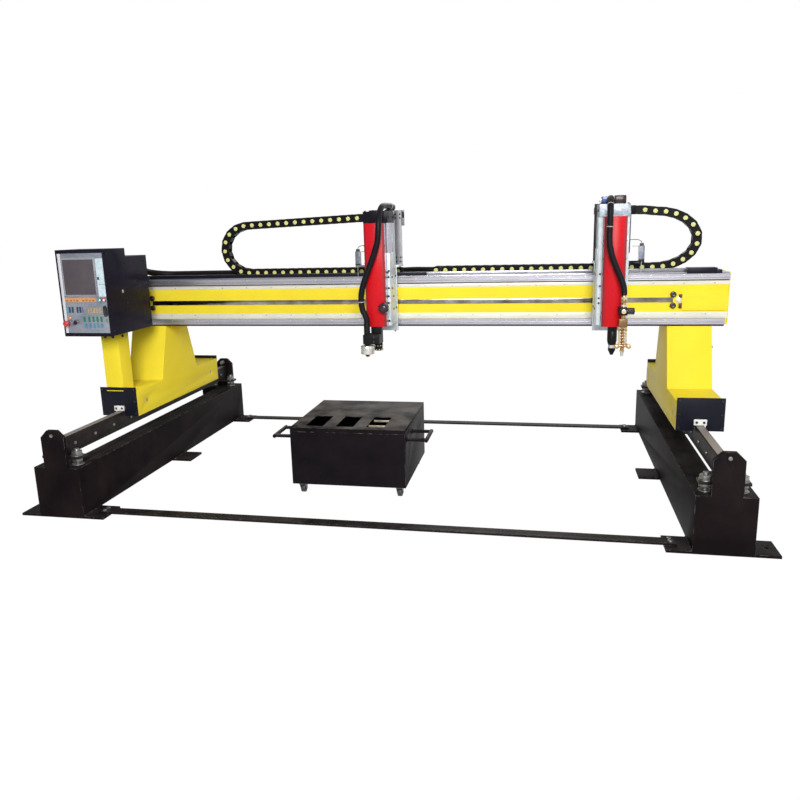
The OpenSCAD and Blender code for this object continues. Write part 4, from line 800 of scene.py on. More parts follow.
clip_brown = finish("clip_brown", (0.10, 0.045, 0.022), 0.35, metal=0.6, tone=0.3, tone_scale=60)
clips, straps = [], []
for x, s in ((BAND_RIGHT, 1), (BAND_LEFT, -1)):
    near, far = x + s * 0.0165, x + s * 0.0400
    clips.append(part_box((near, BEAM_FRONT - 0.0034, 0.9235), (far, BEAM_FRONT, 0.9515), 0.0008))
    near, far = x + s * 0.0275, x + s * 0.0425
    for low, high in ((0.9480, 0.9665), (0.8945, 0.9210)):
        straps.append(part_box((near, BEAM_FRONT - 0.0062, low), (far, BEAM_FRONT, high), 0.0020))
        straps.append(part_turned((x + s * 0.035, BEAM_FRONT - 0.0060, (low + high) / 2), "-Y",
                                  ((0, 0.0050), (0.0025, 0.0050), (0.0034, 0.0042)), 12))
fit(joined(clips), "band_clips", "gantry", "zinc_plate", clip_white)
fit(joined(straps), "guard_straps", "gantry", "brass", clip_brown)

dressed("beam_end_covers", 0.0025, "beam_end_guards", "gantry", "yellow_paint", yellow_enamel, segments=3)
ribs = [part_box((inner, BEAM_FRONT - 0.0090, z), (outer, BEAM_FRONT - 0.0078, z + 0.0022), 0.0005)
        for inner, outer in ((1.470, 1.655), (-1.518, -1.655)) for z in (0.9500, 0.8990)]
fit(joined(ribs), "guard_ribs", "gantry", "yellow_paint", yellow_enamel)
places = [place for x, turn in ((1.679, RIGHT), (-1.679, LEFT))
          for place in standing(turn, [(x, y, z) for y in (0.02, 0.207) for z in (0.84, 0.944, 1.048)])]
fit(repeated(socket_screw(0.0060, 0.0050), places), "end_plate_screws", "gantry", "zinc_plate", zinc)


# ---- Drag chains -----------------------------------------------------------------------------------------
# Two cable drag chains of one moulded link, each lying along the beam's top, round a free bend and back to
# its carriage's arm. Every pin has a pale cap. A run is split into groups of evenly stretched links.
CHAIN_LOW, CHAIN_TOP, LINK = 1.098, 1.388, 0.051
chain_black = finish("chain_black", (0.007, 0.006, 0.007), 0.36, shine=0.10, tone=0.2, tone_scale=30,
                     marks=260, mark_tone=0.08, relief=0.03, dusty=0.10)
pin_pale = finish("pin_cap", (0.66, 0.66, 0.24), 0.40, tone=0.08, tone_scale=60, marks=400, relief=0.01)


def lobe(x_from, x_to, round_end, half_high):
    """The outline of a link plate's half, with a round end at one of its two sides."""
    outline = [(x_from, -half_high), (x_from, half_high)]
    for k in range(7):
        turn = math.radians(90 - 30 * k)
        outline.append((x_to + half_high * 0.98 * math.cos(turn), half_high * math.sin(turn)))
    return outline if round_end > 0 else [(-x, z) for x, z in reversed(outline)]


def chain_link():
    """One link lying along X: outer half plates at its tail, inner ones at its head, two crossbars and caps."""
    parts, caps = [], []
    for side in (-1, 1):
        for low, high, outline in ((0.0208, 0.0243, lobe(-0.0050, 0.0255, -1, 0.0220)),
                                   (0.0172, 0.0206, lobe(-0.0060, 0.0250, 1, 0.0214))):
            y0, y1 = sorted((side * low, side * high))
            parts.append(part_plate(outline, "XZ", y0, y1 - y0))
        caps.append(part_turned((-0.0255, side * 0.0240, 0), "Y" if side > 0 else "-Y",
                                ((0, 0.0113), (0.0006, 0.0113), (0.0010, 0.0104), (0.0008, 0.0060)), 14))
    for z in (-0.0215, 0.0190):
        parts.append(part_box((-0.0090, -0.0235, z), (0.0150, 0.0235, z + 0.0025)))
    return joined([coloured(joined(parts), chain_black, pin_pale), coloured(joined(caps), pin_pale)])


def chain_path(side, bend_x, reach, droop, fixed_x, end_x):
    """The chain's middle line: lower run, a bend with its own reach, and an upper run that droops to it."""
    rise = (CHAIN_TOP - CHAIN_LOW - droop) / 2
    points = [(fixed_x, CHAIN_LOW)]
    for k in range(37):
        turn = math.radians(5 * k)
        points.append((bend_x + side * reach * math.sin(turn), CHAIN_LOW + rise * (1 - math.cos(turn))))
    points += [(end_x + side * 0.040, CHAIN_TOP), (end_x, CHAIN_TOP)]
    return [Vector((x, GANTRY_Y, z)) for x, z in points]


def lay_chain(label, carriage, side, *shape):
    """The whole chain in groups of links, each laid along its part of the path."""
    path = chain_path(side, *shape)
    count = round(route_length(path) / LINK)
    pins, reach = spaced(path, count)
    bend_from, bend_to, total = reach[1], reach[37], reach[-1]
    low_links = sum(1 for at, _ in pins[1:] if at <= bend_from)
    high_links = sum(1 for at, _ in pins[:-1] if at >= bend_to)
    pattern = chain_link()
    groups = []
    for first, last in ((0, low_links), (count - high_links, count)):
        parts = max(1, round((last - first) / 4))
        groups += [(first + (last - first) * k // parts, first + (last - first) * (k + 1) // parts)
                   for k in range(parts)]
    groups.append((low_links, count - high_links))
    for number, (first, last) in enumerate(groups):
        moves = []
        for (_, tail), (_, head) in zip(pins[first:last], pins[first + 1:last + 1]):
            along = head - tail
            turn = math.atan2(along.z, along.x)
            moves.append(Matrix.Translation((tail + head) / 2) @ Matrix.Rotation(-turn, 4, "Y")
                         @ Matrix.Scale(along.length / LINK, 4, (1, 0, 0)))
        copy = pattern.copy()
        copy.data = pattern.data.copy()
        scene.collection.objects.link(copy)
        piece = repeated(copy, moves)
        piece.name = piece.data.name = "%s_links_%d" % (label, number + 1)
        if (first, last) == groups[-1]:
            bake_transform(piece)
            continue
        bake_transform(piece)
        if number == 0:
            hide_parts(label)
    bpy.data.objects.remove(pattern)


lay_chain("left_chain", "left_carriage", -1, -0.890, 0.142, 0.024, -0.020, -0.190)
lay_chain("right_chain", "right_carriage", 1, 1.330, 0.205, 0.009, 0.193, 1.221)

# brackets that hold the fixed ends on the beam
for label, x0, x1 in (("left_chain_foot", -0.0195, 0.0120), ("right_chain_foot", 0.1980, 0.2250)):
    bracket = part_box((x0, GANTRY_Y - 0.0245, CHAIN_LOW - 0.0228),
                       (x1, GANTRY_Y - 0.0205, CHAIN_LOW + 0.0200), 0.0008)
    fit(bracket, label, "gantry", "black_plastic", chain_black)


# ---- Control cabinet -------------------------------------------------------------------------------------
# A folded sheet cabinet in dark enamel on its post, with a silver front panel: a screen in a bright frame,
# membrane keys, two lit buttons, a rocker, a selector and a mushroom stop. All keys are blank.
cabinet_navy = finish("cabinet_navy", (0.007, 0.006, 0.013), 0.32, shine=0.05, tone=0.15, tone_scale=2.5,
                      marks=240, mark_tone=0.06, worn=0.3, worn_width=0.0015, coat=0.05,
                      second=(0.014, 0.011, 0.022))
panel_silver = finish("panel_silver", (0.36, 0.38, 0.42), 0.32, metal=0.55, tone=0.08, tone_scale=5,
                      marks=(30, 500, 400), mark_tone=0.05, relief=0.015, second=(0.26, 0.30, 0.37))
frame_silver = finish("screen_frame", (0.40, 0.40, 0.43), 0.28, metal=0.6, tone_scale=12, relief=0.01)
screen_glass = finish("screen_glass", (0.085, 0.076, 0.090), 0.30, shine=0.12, tone=0.14, tone_scale=6,
                      mark_tone=0.02, relief=0.0, rough_range=0.03, second=(0.105, 0.088, 0.098))
PANEL_Y = GANTRY_Y - 0.638
CABINET_LEFT, CABINET_RIGHT = -1.6800, -1.4100
dressed("cabinet_shell", 0.0022, "cabinet_body", "gantry", "black_paint", cabinet_navy, segments=3)
panel = rounded("control_panel", 0.0006)
fit(panel, "cabinet_front_panel", "gantry", "panel_paint", (panel_silver, screen_glass), "control_panel")
painted(panel, 1, (-1.6475, PANEL_Y - 0.002, 1.0355), (-1.4705, PANEL_Y + 0.0012, 1.2145))

# the panel's folded left edge, painted pale as a painted highlight along its bend
fold_highlight_pale = finish("folded_edge_highlight", (0.74, 0.75, 0.78), 0.30, metal=0.3, tone=0.05, tone_scale=8,
                    marks=(300, 300, 60), relief=0.01)
fit(part_box((-1.6705, PANEL_Y - 0.0022, 0.8385), (-1.6565, PANEL_Y + 0.0006, 1.2455), 0.0010, 3),
    "panel_left_fold", "gantry", "panel_paint", fold_highlight_pale)


def ring_plate(outline, at, thick, rim, edge=0.0006):
    """A flat frame on the XZ plane: an outline pulled out to thick, open inside a rim."""
    made = part_plate(outline, "XZ", at, thick)
    middle = [sum(values) / len(outline) for values in zip(*outline)]
    shrink = [1 - rim / (max(values) - m) for values, m in zip(zip(*outline), middle)]
    inside = [tuple(m + (value - m) * k for value, m, k in zip(corner, middle, shrink)) for corner in outline]
    cutter = part_plate(inside, "XZ", at - 0.01, thick + 0.02)
    modified(made, "BOOLEAN", object=cutter, operation="DIFFERENCE", solver="EXACT")
    bpy.data.objects.remove(cutter)
    return modified(made, "BEVEL", width=edge, segments=2, limit_method="ANGLE", angle_limit=math.radians(35))


def oval(middle, half_wide, half_high):
    """Corners of a long round-ended shape about a middle."""
    lift, sides = half_high - half_wide, 24
    turns = [2 * math.pi * (k + 0.5) / sides for k in range(sides)]
    return [(middle[0] + half_wide * math.cos(turn),
             middle[1] + half_wide * math.sin(turn) + (lift if k < sides // 2 else -lift))
            for k, turn in enumerate(turns)]


x0, x1, z0, z1 = -1.647, -1.471, 1.036, 1.214
bezel = ring_plate([(x0 - 0.007, z0 - 0.007), (x1 + 0.007, z0 - 0.007), (x1 + 0.007, z1 + 0.009),
                    (x0 - 0.007, z1 + 0.009)], PANEL_Y - 0.0020, 0.0022, 0.0072)
fit(bezel, "screen_bezel", "gantry", "panel_paint", frame_silver)

# membrane strips and keys: name, colour, middles, lowest, highest, width
for label, colour, middles, low, high, wide in (
    ("amber_strip", (0.66, 0.30, 0.12), (-1.566,), 0.9990, 1.0200, 0.178),
    ("amber_keys", (0.42, 0.16, 0.03), (-1.6445, -1.6200, -1.6020, -1.5850, -1.5500, -1.5310, -1.5120, -1.4930),
     1.0025, 1.0105, 0.0115),
    ("sky_strip", (0.58, 0.70, 0.75), (-1.4375,), 1.0260, 1.2190, 0.0420),
    ("sky_line", (0.16, 0.26, 0.27), (-1.4375,), 1.0870, 1.0890, 0.0340),
    ("cyan_key", (0.10, 0.34, 0.44), (-1.6500,), 0.9440, 0.9740, 0.0070),
    ("navy_keys", (0.020, 0.045, 0.075), (-1.6350, -1.6180, -1.5900, -1.5740), 0.9440, 0.9740, 0.0100),
    ("purple_key", (0.17, 0.10, 0.34), (-1.5600,), 0.9440, 0.9740, 0.0065),
    ("tan_keys", (0.46, 0.33, 0.15), (-1.5270, -1.5110, -1.4940, -1.4790, -1.4630), 0.9410, 0.9680, 0.0080),
    ("green_keys", (0.020, 0.175, 0.105), (-1.5570, -1.5285, -1.5040, -1.4820, -1.4590), 0.8960, 0.9240,
     0.0110),
    ("grey_keys", (0.16, 0.24, 0.22), (-1.4290,), 0.8930, 0.9120, 0.0110),
    ("blue_keys", (0.09, 0.25, 0.44), (-1.5540, -1.5285, -1.5040, -1.4820, -1.4590), 0.8660, 0.8880, 0.0110),
    ("port_black", (0.012, 0.012, 0.014), (-1.4510,), 1.1110, 1.1250, 0.0110),
):
    rise = 0.0012 if "strip" in label else 0.0024
    keys = [part_box((x - wide / 2, PANEL_Y - rise, low), (x + wide / 2, PANEL_Y + 0.0004, high), 0.0005, 1)
            for x in middles]
    fit(joined(keys), label, "gantry", "panel_paint",
        finish(label, colour, 0.34, tone=0.14, tone_scale=60, marks=500, mark_tone=0.05,
               relief=0.01))
lamp_amber = finish("lamp_amber", (0.72, 0.28, 0.05), 0.20, tone=0.1, tone_scale=80, coat=0.5)
status_lamp = part_turned((-1.642, PANEL_Y, 0.915), "-Y",
                          ((0, 0.0085), (0.0020, 0.0085), (0.0034, 0.0068), (0.0040, 0.0030)), 20)
fit(status_lamp, "status_lamp", "gantry", "panel_paint", lamp_amber)

# push buttons, selector and rocker, each on its own moving body
stop_red = finish("stop_red", (0.66, 0.020, 0.022), 0.16, tone=0.08, tone_scale=50, marks=400, mark_tone=0.03,
                  relief=0.005, coat=0.6)
go_green = finish("go_green", (0.015, 0.20, 0.085), 0.22, tone=0.08, tone_scale=50, marks=400, coat=0.3)
lit_pale = finish("lit_centre", (0.80, 0.86, 0.84), 0.25, tone=0.05, tone_scale=90, marks=400)
knob_maroon = finish("knob_maroon", (0.050, 0.010, 0.022), 0.25, tone=0.15, tone_scale=60, coat=0.3)
stem_steel = finish("stem_steel", (0.48, 0.48, 0.50), 0.35, metal=1.0, tone=0.1, tone_scale=40)
STEM_R, CAP_GAP = 0.0061, 0.0005


def button(label, x, z, travel, crown_profile, finishes, centre=0.0):
    """A push button: its cap with a centre of another finish, its stem and the nut behind the panel."""
    cap = coloured(part_turned((x, PANEL_Y - travel - CAP_GAP, z), "-Y", crown_profile, 32), *finishes)
    if centre:
        painted(cap, 1, (x - centre, -1, z - centre), (x + centre, PANEL_Y - travel - 0.003, z + centre))
    stem = coloured(part_turned((x, PANEL_Y - travel - 0.0010, z), "Y",
                                ((0, STEM_R), (travel + 0.0150, STEM_R), (travel + 0.0160, 0.0052)), 16),
                    stem_steel)
    nut = coloured(part_turned((x, PANEL_Y + 0.0055, z), "Y", ((0, 0.0093), (0.0025, 0.0093)), 6), stem_steel)
    return fit(joined([cap, stem, nut]), label + "_piece", label, "red_plastic", None, label)


button("emergency_stop", -1.655, 0.889, 0.005,
       ((0, 0.0110), (0.0060, 0.0105), (0.0085, 0.0148), (0.0115, 0.0160), (0.0150, 0.0157), (0.0185, 0.0136),
        (0.0208, 0.0096), (0.0220, 0.0040)), (stop_red,))
for label, x, ring in (("start_button", -1.452, go_green), ("stop_button", -1.429, stop_red)):
    button(label, x, 1.009, 0.003, ((0, 0.0086), (0.0010, 0.0090), (0.0042, 0.0090), (0.0050, 0.0080),
                                    (0.0044, 0.0058)), (ring, lit_pale), 0.0008)
for x, z, size in ((-1.655, 0.889, 0.0188), (-1.452, 1.009, 0.0106), (-1.429, 1.009, 0.0106),
                   (-1.611, 0.893, 0.0128)):
    circle = [(x + size * math.cos(turn), z + size * math.sin(turn))
              for turn in [math.radians(15 * k) for k in range(24)]]
    collar = ring_plate(circle, PANEL_Y - 0.0009, 0.0011, size * 0.085, 0.0002)
    fit(collar, "collar_%04d" % round(-x * 1000), "gantry", "panel_paint", frame_silver)

KNOB_X, KNOB_Z = -1.611, 0.893
knob = part_turned((KNOB_X, PANEL_Y - 0.0003, KNOB_Z), "-Y",
                   ((0, 0.0106), (0.0008, 0.0110), (0.0060, 0.0108), (0.0077, 0.0098)), 24)
grip = part_box((-1.6140, PANEL_Y - 0.0180, 0.8830), (-1.6080, PANEL_Y - 0.0070, 0.9030), 0.0018, 3)
pointer = part_box((-1.6114, PANEL_Y - 0.0182, 0.8950), (-1.6106, PANEL_Y - 0.0120, 0.9020))
stem = part_turned((KNOB_X, PANEL_Y - 0.0010, KNOB_Z), "Y", ((0, STEM_R), (0.0160, STEM_R)), 16)
selector = [coloured(part, one) for part, one in (
    (knob, knob_maroon), (grip, knob_maroon), (pointer, lit_pale), (stem, stem_steel))]
fit(joined(selector), "selector_piece", "selector_knob", "black_plastic", None, "selector_knob")
rocker_black = finish("rocker_black", (0.009, 0.009, 0.011), 0.18, tone=0.12, tone_scale=60, marks=400,
                      relief=0.005, coat=0.4)
dressed("speed_rocker", 0.0010, "rocker_piece", "speed_rocker", "black_plastic", rocker_black, segments=3)
fit(ring_plate(oval((-1.431, 0.951), 0.0126, 0.0290), PANEL_Y - 0.0030, 0.0032, 0.0030, 0.0010),
    "rocker_surround", "gantry", "black_plastic", rocker_black)

# outside of the cabinet: side louvres, a lock and screws, a rear door and the gland's nut
louvre = part_plate([(-0.030, 0.0), (-0.0295, 0.0035), (0.0295, 0.0035), (0.030, 0.0)], "YZ",
                    0.0, 0.0022, 0.0004)
vents = repeated(louvre, [(CABINET_LEFT - 0.0018, -0.420 + 0.075 * column, 0.900 + 0.012 * row)
                          for column in range(2) for row in range(9)])
fit(vents, "cabinet_louvres", "gantry", "black_paint", cabinet_navy)
door = part_box((-1.6620, -0.1218, 0.8380), (-1.4280, -0.1196, 1.1060), 0.0008)
hinge = part_turned((-1.6640, -0.1180, 0.8700), "Z", ((0, 0.0036), (0.0400, 0.0036)), 12)
hinges = repeated(hinge, [(0, 0, 0), (0, 0, 0.1650)])
fit(joined([door, hinges]), "cabinet_rear_door", "gantry", "black_paint", cabinet_navy)
lock = part_turned((0, 0, 0), "Z", ((0, 0.0085), (0.0022, 0.0085), (0.0030, 0.0070)), 20)
slot_bar = part_box((-0.0012, -0.0050, 0.0026), (0.0012, 0.0050, 0.0040), 0.0003)
BACK = Matrix.Rotation(math.radians(-90), 4, "X")      # ... to +Y
locks = repeated(joined([lock, slot_bar]), standing(BACK, [(-1.4420, -0.1200, z) for z in (0.9000, 1.0500)])
                 + standing(RIGHT, [(CABINET_RIGHT, -0.3860, 1.0400)]))
fit(locks, "cabinet_locks", "gantry", "zinc_plate", zinc)
both_sides = ((-0.1500, 0.8450), (-0.5000, 0.8450), (-0.1500, 1.1900), (-0.5000, 1.2400))
side_screws = repeated(socket_screw(0.0042, 0.0026), standing(RIGHT, [
    (CABINET_RIGHT, y, z) for y, z in ((-0.3510, 0.9770), *both_sides)])
    + standing(LEFT, [(CABINET_LEFT, y, z) for y, z in both_sides]))
fit(side_screws, "cabinet_screws", "gantry", "zinc_plate", screw_black)
gland = part_turned((-1.5300, -0.1215, 1.1500), "Y", ((0, 0.0315), (0.0060, 0.0315), (0.0070, 0.0300)), 6)
fit(gland, "gland_nut", "gantry", "black_plastic", rocker_black)


# ---- Torch carriages -------------------------------------------------------------------------------------
# The two saddles on the beam: machined plates with bearing blocks and side brackets, drive and lift motors,
# the upright and arm that pull the drag chain, an end sensor with its wires, and the lifters' housings.
plate_white = finish("plate_white", (0.76, 0.79, 0.83), 0.32, metal=0.1, tone=0.10, tone_scale=12,
                     marks=(260, 260, 60), mark_tone=0.06, relief=0.015, second=(0.58, 0.66, 0.68))
upright_grey = finish("upright_grey", (0.21, 0.21, 0.225), 0.45, metal=0.3, tone=0.10, tone_scale=14,
                      marks=(300, 300, 60), mark_tone=0.10, worn=0.4, worn_width=0.0015)
aluminium = finish("extruded_aluminium", (0.56, 0.53, 0.59), 0.26, metal=0.85, tone=0.12, tone_scale=6,
                   marks=(420, 420, 14), mark_tone=0.12, relief=0.015, second=(0.62, 0.66, 0.74))
galvanised = finish("galvanised", (0.27, 0.33, 0.40), 0.42, metal=0.25, tone=0.45, tone_scale=34, marks=90,
                    mark_tone=0.22, second=(0.50, 0.54, 0.58))
block_black = finish("block_black", (0.008, 0.007, 0.012), 0.34, shine=0.12, tone=0.18, tone_scale=9,
                     marks=280, mark_tone=0.08, worn=0.45, worn_width=0.0015)
sensor_grey = finish("sensor_grey", (0.085, 0.105, 0.15), 0.35, tone=0.25, tone_scale=40, mark_tone=0.08,
                     second=(0.25, 0.26, 0.33))
solenoid_blue = finish("solenoid_blue", (0.035, 0.085, 0.30), 0.28, tone=0.2, tone_scale=60, relief=0.01,
                       coat=0.3)
motor_maroon = finish("motor_cap", (0.030, 0.013, 0.012), 0.32, shine=0.2, tone=0.25, tone_scale=40,
                      relief=0.01, coat=0.3)
wire_black = finish("wire_black", (0.012, 0.012, 0.014), 0.40, tone=0.1, tone_scale=30, marks=200)
wire_pale = finish("wire_pale", (0.52, 0.50, 0.47), 0.45, tone=0.1, tone_scale=30, marks=200)


def split_level(piece, height):
    """The piece with its faces cut along a level, so that each side of it can be painted by itself."""
    select_only(piece)
    bpy.ops.object.mode_set(mode="EDIT")
    bpy.ops.mesh.select_all(action="SELECT")
    bpy.ops.mesh.bisect(plane_co=(0, 0, height), plane_no=(0, 0, 1))
    bpy.ops.object.mode_set(mode="OBJECT")
    return piece


def wire(points, radius):
    """A thin lead along an even curve through the points."""
    return ribbed_tube(smooth_route(points, 0.006), radius, 0.0, 10)


SCREW_Y = -0.1215         # the axes of the lifting screws and of their motors
BLOCK_TOP = 1.4138        # the top face of the block across each lifter's housing
# the sensor's cable, its wire into the chain and its bent guard: radius, and places out from the sensor's end
SENSOR_WIRES = (
    (0.0017, ((-0.014, 0.0135, 1.2200), (-0.011, 0.0135, 1.2310), (0.006, 0.0100, 1.2400), (0.034, 0.0, 1.2410),
              (0.070, -0.0200, 1.2380))),
    (0.0012, ((-0.016, 0.0005, 1.1330), (-0.013, -0.0060, 1.1250), (-0.012, -0.0100, 1.1000),
              (-0.012, -0.0100, 1.0760))),
    (0.0020, ((0.034, 0.0, 1.2080), (0.010, 0.0, 1.2080), (0.002, 0.0, 1.2030), (0.002, 0.0, 1.1400))),
)
# each side: bearing plate and housing ends, upright, pinion and screw places, sensor ends, chain's arm
for side, way, x0, x1, upright, gear_x, screw_x, screw_z, sensor in (
    ("left", 1, -0.132, -0.006, (-0.031, 0.009), -0.0660, -0.0910, 1.380, (-0.237, -0.209)),
    ("right", -1, 1.026, 1.168, (1.022, 1.062), 1.1027, 1.1270, 1.414, (1.240, 1.268)),
):
    body = side + "_carriage"
    saddle = split_level(rounded(side + "_carriage_frame", 0.0009), 1.1368)
    # the left upright is grey; the right one and the faces painted in its colour are black: painted shade where
    # it shows as a dark sliver
    column = upright_grey if way > 0 else block_black
    fit(saddle, side + "_saddle", body, "aluminium", (plate_white, column, sensor_grey, zinc),
        side + "_carriage_frame")
    painted(saddle, 1, (-2, 0.078, 1.1355), (2, 0.2, 1.5))
    painted(saddle, 1, (sensor[0] - 0.12, 0.0, 1.1250), (sensor[1] + 0.12, 0.03, 1.1365))
    painted(saddle, 2, (sensor[0] - 0.001, 0.0, 1.1370), (sensor[1] + 0.001, 0.03, 1.2200))
    for z in (0.830, 1.054):
        painted(saddle, 3, (-2, -0.0360, z - 0.030), (2, -0.0060, z + 0.030))
    # screws of the upright, on the left one its grey head and black sensing plate, and the chain's black shoe
    fittings = [repeated(coloured(socket_screw(0.0042, 0.0040), screw_black), standing(FRONT, [
        (sum(upright) / 2 + dx, 0.0795, z) for dx in (-0.012, 0.012) for z in (1.150, 1.172, 1.382, 1.402)]))]
    if way > 0:
        head = part_box((upright[1], 0.0790, 1.3410), (upright[1] + 0.0154, 0.0878, 1.4230), 0.0008)
        plate = part_box((upright[1] + 0.0054, 0.0772, 1.3830), (upright[1] + 0.0162, 0.0791, 1.4140), 0.0004)
        fittings += [coloured(head, upright_grey), coloured(plate, block_black)]
    fit(joined(fittings), side + "_upright_head", body, "aluminium", None)
    reach = (-0.1950, -0.1300) if way > 0 else (1.1660, 1.2260)
    shoe = [part_box((reach[0], 0.0860, 1.3655), (reach[1], 0.0885, 1.4105), 0.0010),
            part_box((reach[0], 0.0860, 1.4085), (reach[1], 0.1380, 1.4110), 0.0008)]
    fit(joined(shoe), side + "_chain_shoe", body, "black_plastic", chain_black)

    # drive motor on its flange, with a cap, four screws, a plug and its cable, and the lift motor on the block
    motors = rounded(side + "_motors", 0.0014)
    fit(motors, side + "_motor_bodies", body, "black_plastic", (motor_black, motor_maroon), side + "_motors")
    painted(motors, 1, (-2, -0.16, 1.35), (2, -0.08, 1.46))
    flange = part_box((gear_x - 0.0295, 0.0160, 1.1362), (gear_x + 0.0295, 0.0750, 1.1425), 0.0012)
    cap = part_box((gear_x - 0.0270, 0.0185, 1.2258), (gear_x + 0.0270, 0.0725, 1.2330), 0.0020)
    fins = [part_box((gear_x - 0.0292, 0.0163, 1.1500 + 0.0095 * k),
                     (gear_x + 0.0292, 0.0747, 1.1535 + 0.0095 * k), 0.0006, 1) for k in range(7)]
    plug = part_box((gear_x - 0.0100, 0.0735, 1.1900), (gear_x + 0.0100, 0.0835, 1.2080), 0.0012)
    trim = [coloured(part, one) for parts, one in (((flange, cap), aluminium), (fins, motor_black))
            for part in parts]
    trim.append(coloured(plug, wire_pale))
    studs = repeated(coloured(socket_screw(0.0032, 0.0030), screw_black), [
        (gear_x + dx, 0.0455 + dy, 1.2322) for dx in (-0.0235, 0.0235) for dy in (-0.0235, 0.0235)])
    fit(joined(trim + [studs]), side + "_motor_trim", body, "aluminium", None)
    lead = wire([(gear_x - back * way, y, z) for back, y, z in (
        (0, 0.0800, 1.1990), (0, 0.0960, 1.2050), (0.012, 0.1120, 1.2400), (0.020, 0.1180, 1.3000),
        (0.030, 0.1180, 1.3400), (0.060, 0.1150, 1.3700))], 0.0034)
    fit(lead, side + "_motor_lead", body, "hose_rubber", wire_black)
    lid_z = screw_z + 0.036
    lid = [coloured(part_box((screw_x - 0.0255, -0.1470, lid_z - 0.0002),
                             (screw_x + 0.0255, -0.0960, lid_z + 0.0052), 0.0016), motor_maroon),
           coloured(part_turned((screw_x, SCREW_Y, lid_z + 0.0050), "Z",
                                ((0, 0.0150), (0.0012, 0.0150), (0.0018, 0.0140), (0.0014, 0.0110)), 24), zinc)]
    fit(joined(lid), side + "_lift_motor_lid", body, "black_plastic", None)

    # housing: a drawn channel with raised bands down its sides, and the block across its top
    housing = split_level(rounded(side + "_lifter_housing", 0.0010), 1.3560)
    shell, top = (aluminium, block_black) if side == "left" else (plate_white, galvanised)
    fit(housing, side + "_lifter_channel", body, "aluminium", (shell, top), side + "_lifter_housing")
    painted(housing, 1, (-2, -1, 1.3558), (2, 1, 1.5))
    bands = [part_box((face - out * 0.0004, y0, 1.2062), (face + out * 0.0016, y1, 1.3540), 0.0006, 1)
             for face, out in ((x0, -1), (x1, 1))
             for y0, y1 in ((-0.2040, -0.1830), (-0.1640, -0.1290), (-0.1060, -0.0780))]
    fit(joined(bands), side + "_channel_bands", body, "aluminium", shell)
    heads = repeated(socket_screw(0.0048, 0.0045), [
        (x, y, BLOCK_TOP) for x in (x0 + 0.010, x1 - 0.010) for y in (-0.2080, -0.0600)]
        + standing(LEFT, [(x0 - 0.0002, y, 1.3850) for y in (-0.1900, -0.0800)])
        + standing(RIGHT, [(x1 + 0.0002, y, 1.3850) for y in (-0.1900, -0.0800)]))
    fit(heads, side + "_block_screws", body, "zinc_plate", screw_black)

    # sensor: end caps, its loop of cable and the wire that drops into the chain
    s0, s1 = sensor
    near = s1 if way > 0 else s0
    caps = [part_box((s0 - 0.0005, 0.0010, 1.1355), (s1 + 0.0005, 0.0260, 1.1450), 0.0012),
            part_box((s0 + 0.0040, 0.0060, 1.2080), (s1 - 0.0040, 0.0210, 1.2230), 0.0030)]
    fit(joined(caps), side + "_sensor_caps", body, "black_plastic", wire_black)
    loop, drop, guard = (wire([(near + out * way, y, z) for out, y, z in points], radius)
                         for radius, points in SENSOR_WIRES)
    fit(loop, side + "_sensor_cable", body, "hose_rubber", wire_black)
    fit(joined([drop, guard]), side + "_sensor_wires", body, "hose_rubber", wire_pale)
    name = side + "_pinion"
    dressed(name, 0.0004, name + "_finish", name, "gear_steel", gear_oiled)

# pale rings round the two torch hoses, which follow them: painted glints of light caught along the hoses
for side, shares in (("left", (0.135, 0.300, 0.905)), ("right", (0.150, 0.330, 0.430, 0.520, 0.640))):
    route = hose_routes[side]
    glint_rings = []
    for share in shares:
        start, after = route[int(share * (len(route) - 2)):][:2]
        glint_ring = part_turned((0, 0, 0), "Z", ((0, TORCH_HOSE_D / 2), (0.0006, TORCH_HOSE_D / 2 + 0.0012),
                                           (0.0036, TORCH_HOSE_D / 2 + 0.0012), (0.0042, TORCH_HOSE_D / 2)), 20)
        glint_ring.data.transform(Matrix.Translation(start) @ laid_along(after - start))
        glint_rings.append(glint_ring)
    piece = fit(joined(glint_rings), side + "_hose_glint_rings", None, "hose_rubber", wire_pale)
    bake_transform(piece)

# white bracket wrapped round the left housing's edge, and the black bolts down both brackets
wrap = [part_box((-0.0166, -0.2083, 0.8350), (-0.0019, -0.2063, 1.2050), 0.0006),
        part_box((-0.0061, -0.2075, 0.8350), (-0.0019, -0.1860, 1.2050), 0.0004)]
fit(joined(wrap), "left_bracket_wrap", "left_carriage", "aluminium", plate_white)
SIDE_BOLTS = [(y, z) for y in (-0.1650, -0.0700) for z in (1.0800, 0.9140)]
for side, radius, thick, front_y, on_front, right_x, on_right, left_x in (
    ("left", 0.0056, 0.0030,
     -0.2082, ((-0.0128, 1.1082), (-0.0075, 1.1149), (-0.0095, 1.0840), (-0.0095, 1.0276), (-0.0122, 0.9861),
               (-0.0118, 0.9518), (-0.0105, 0.8589)),
     -0.0020, ((-0.1605, 1.0810), (-0.1630, 1.0240), (-0.1340, 0.9790), (-0.1376, 0.9140), (-0.0700, 1.0810),
               (-0.0700, 0.9140)),
     -0.1360),
    ("right", 0.0052, 0.0028,
     -0.2066, ((1.0385, 1.0845), (1.0400, 1.0265), (1.0358, 0.9680), (1.0362, 0.9440)),
     1.1720, SIDE_BOLTS, 1.0220),
):
    bolt = part_turned((0, 0, 0), "Z", ((0, radius), (thick, radius), (thick + 0.0010, radius - 0.0012)), 12)
    places = standing(FRONT, [(x, front_y, z) for x, z in on_front])
    places += standing(RIGHT, [(right_x, y, z) for y, z in on_right])
    places += standing(LEFT, [(left_x, y, z) for y, z in SIDE_BOLTS])
    fit(repeated(bolt, places), side + "_bracket_bolts", side + "_carriage", "zinc_plate", screw_black)
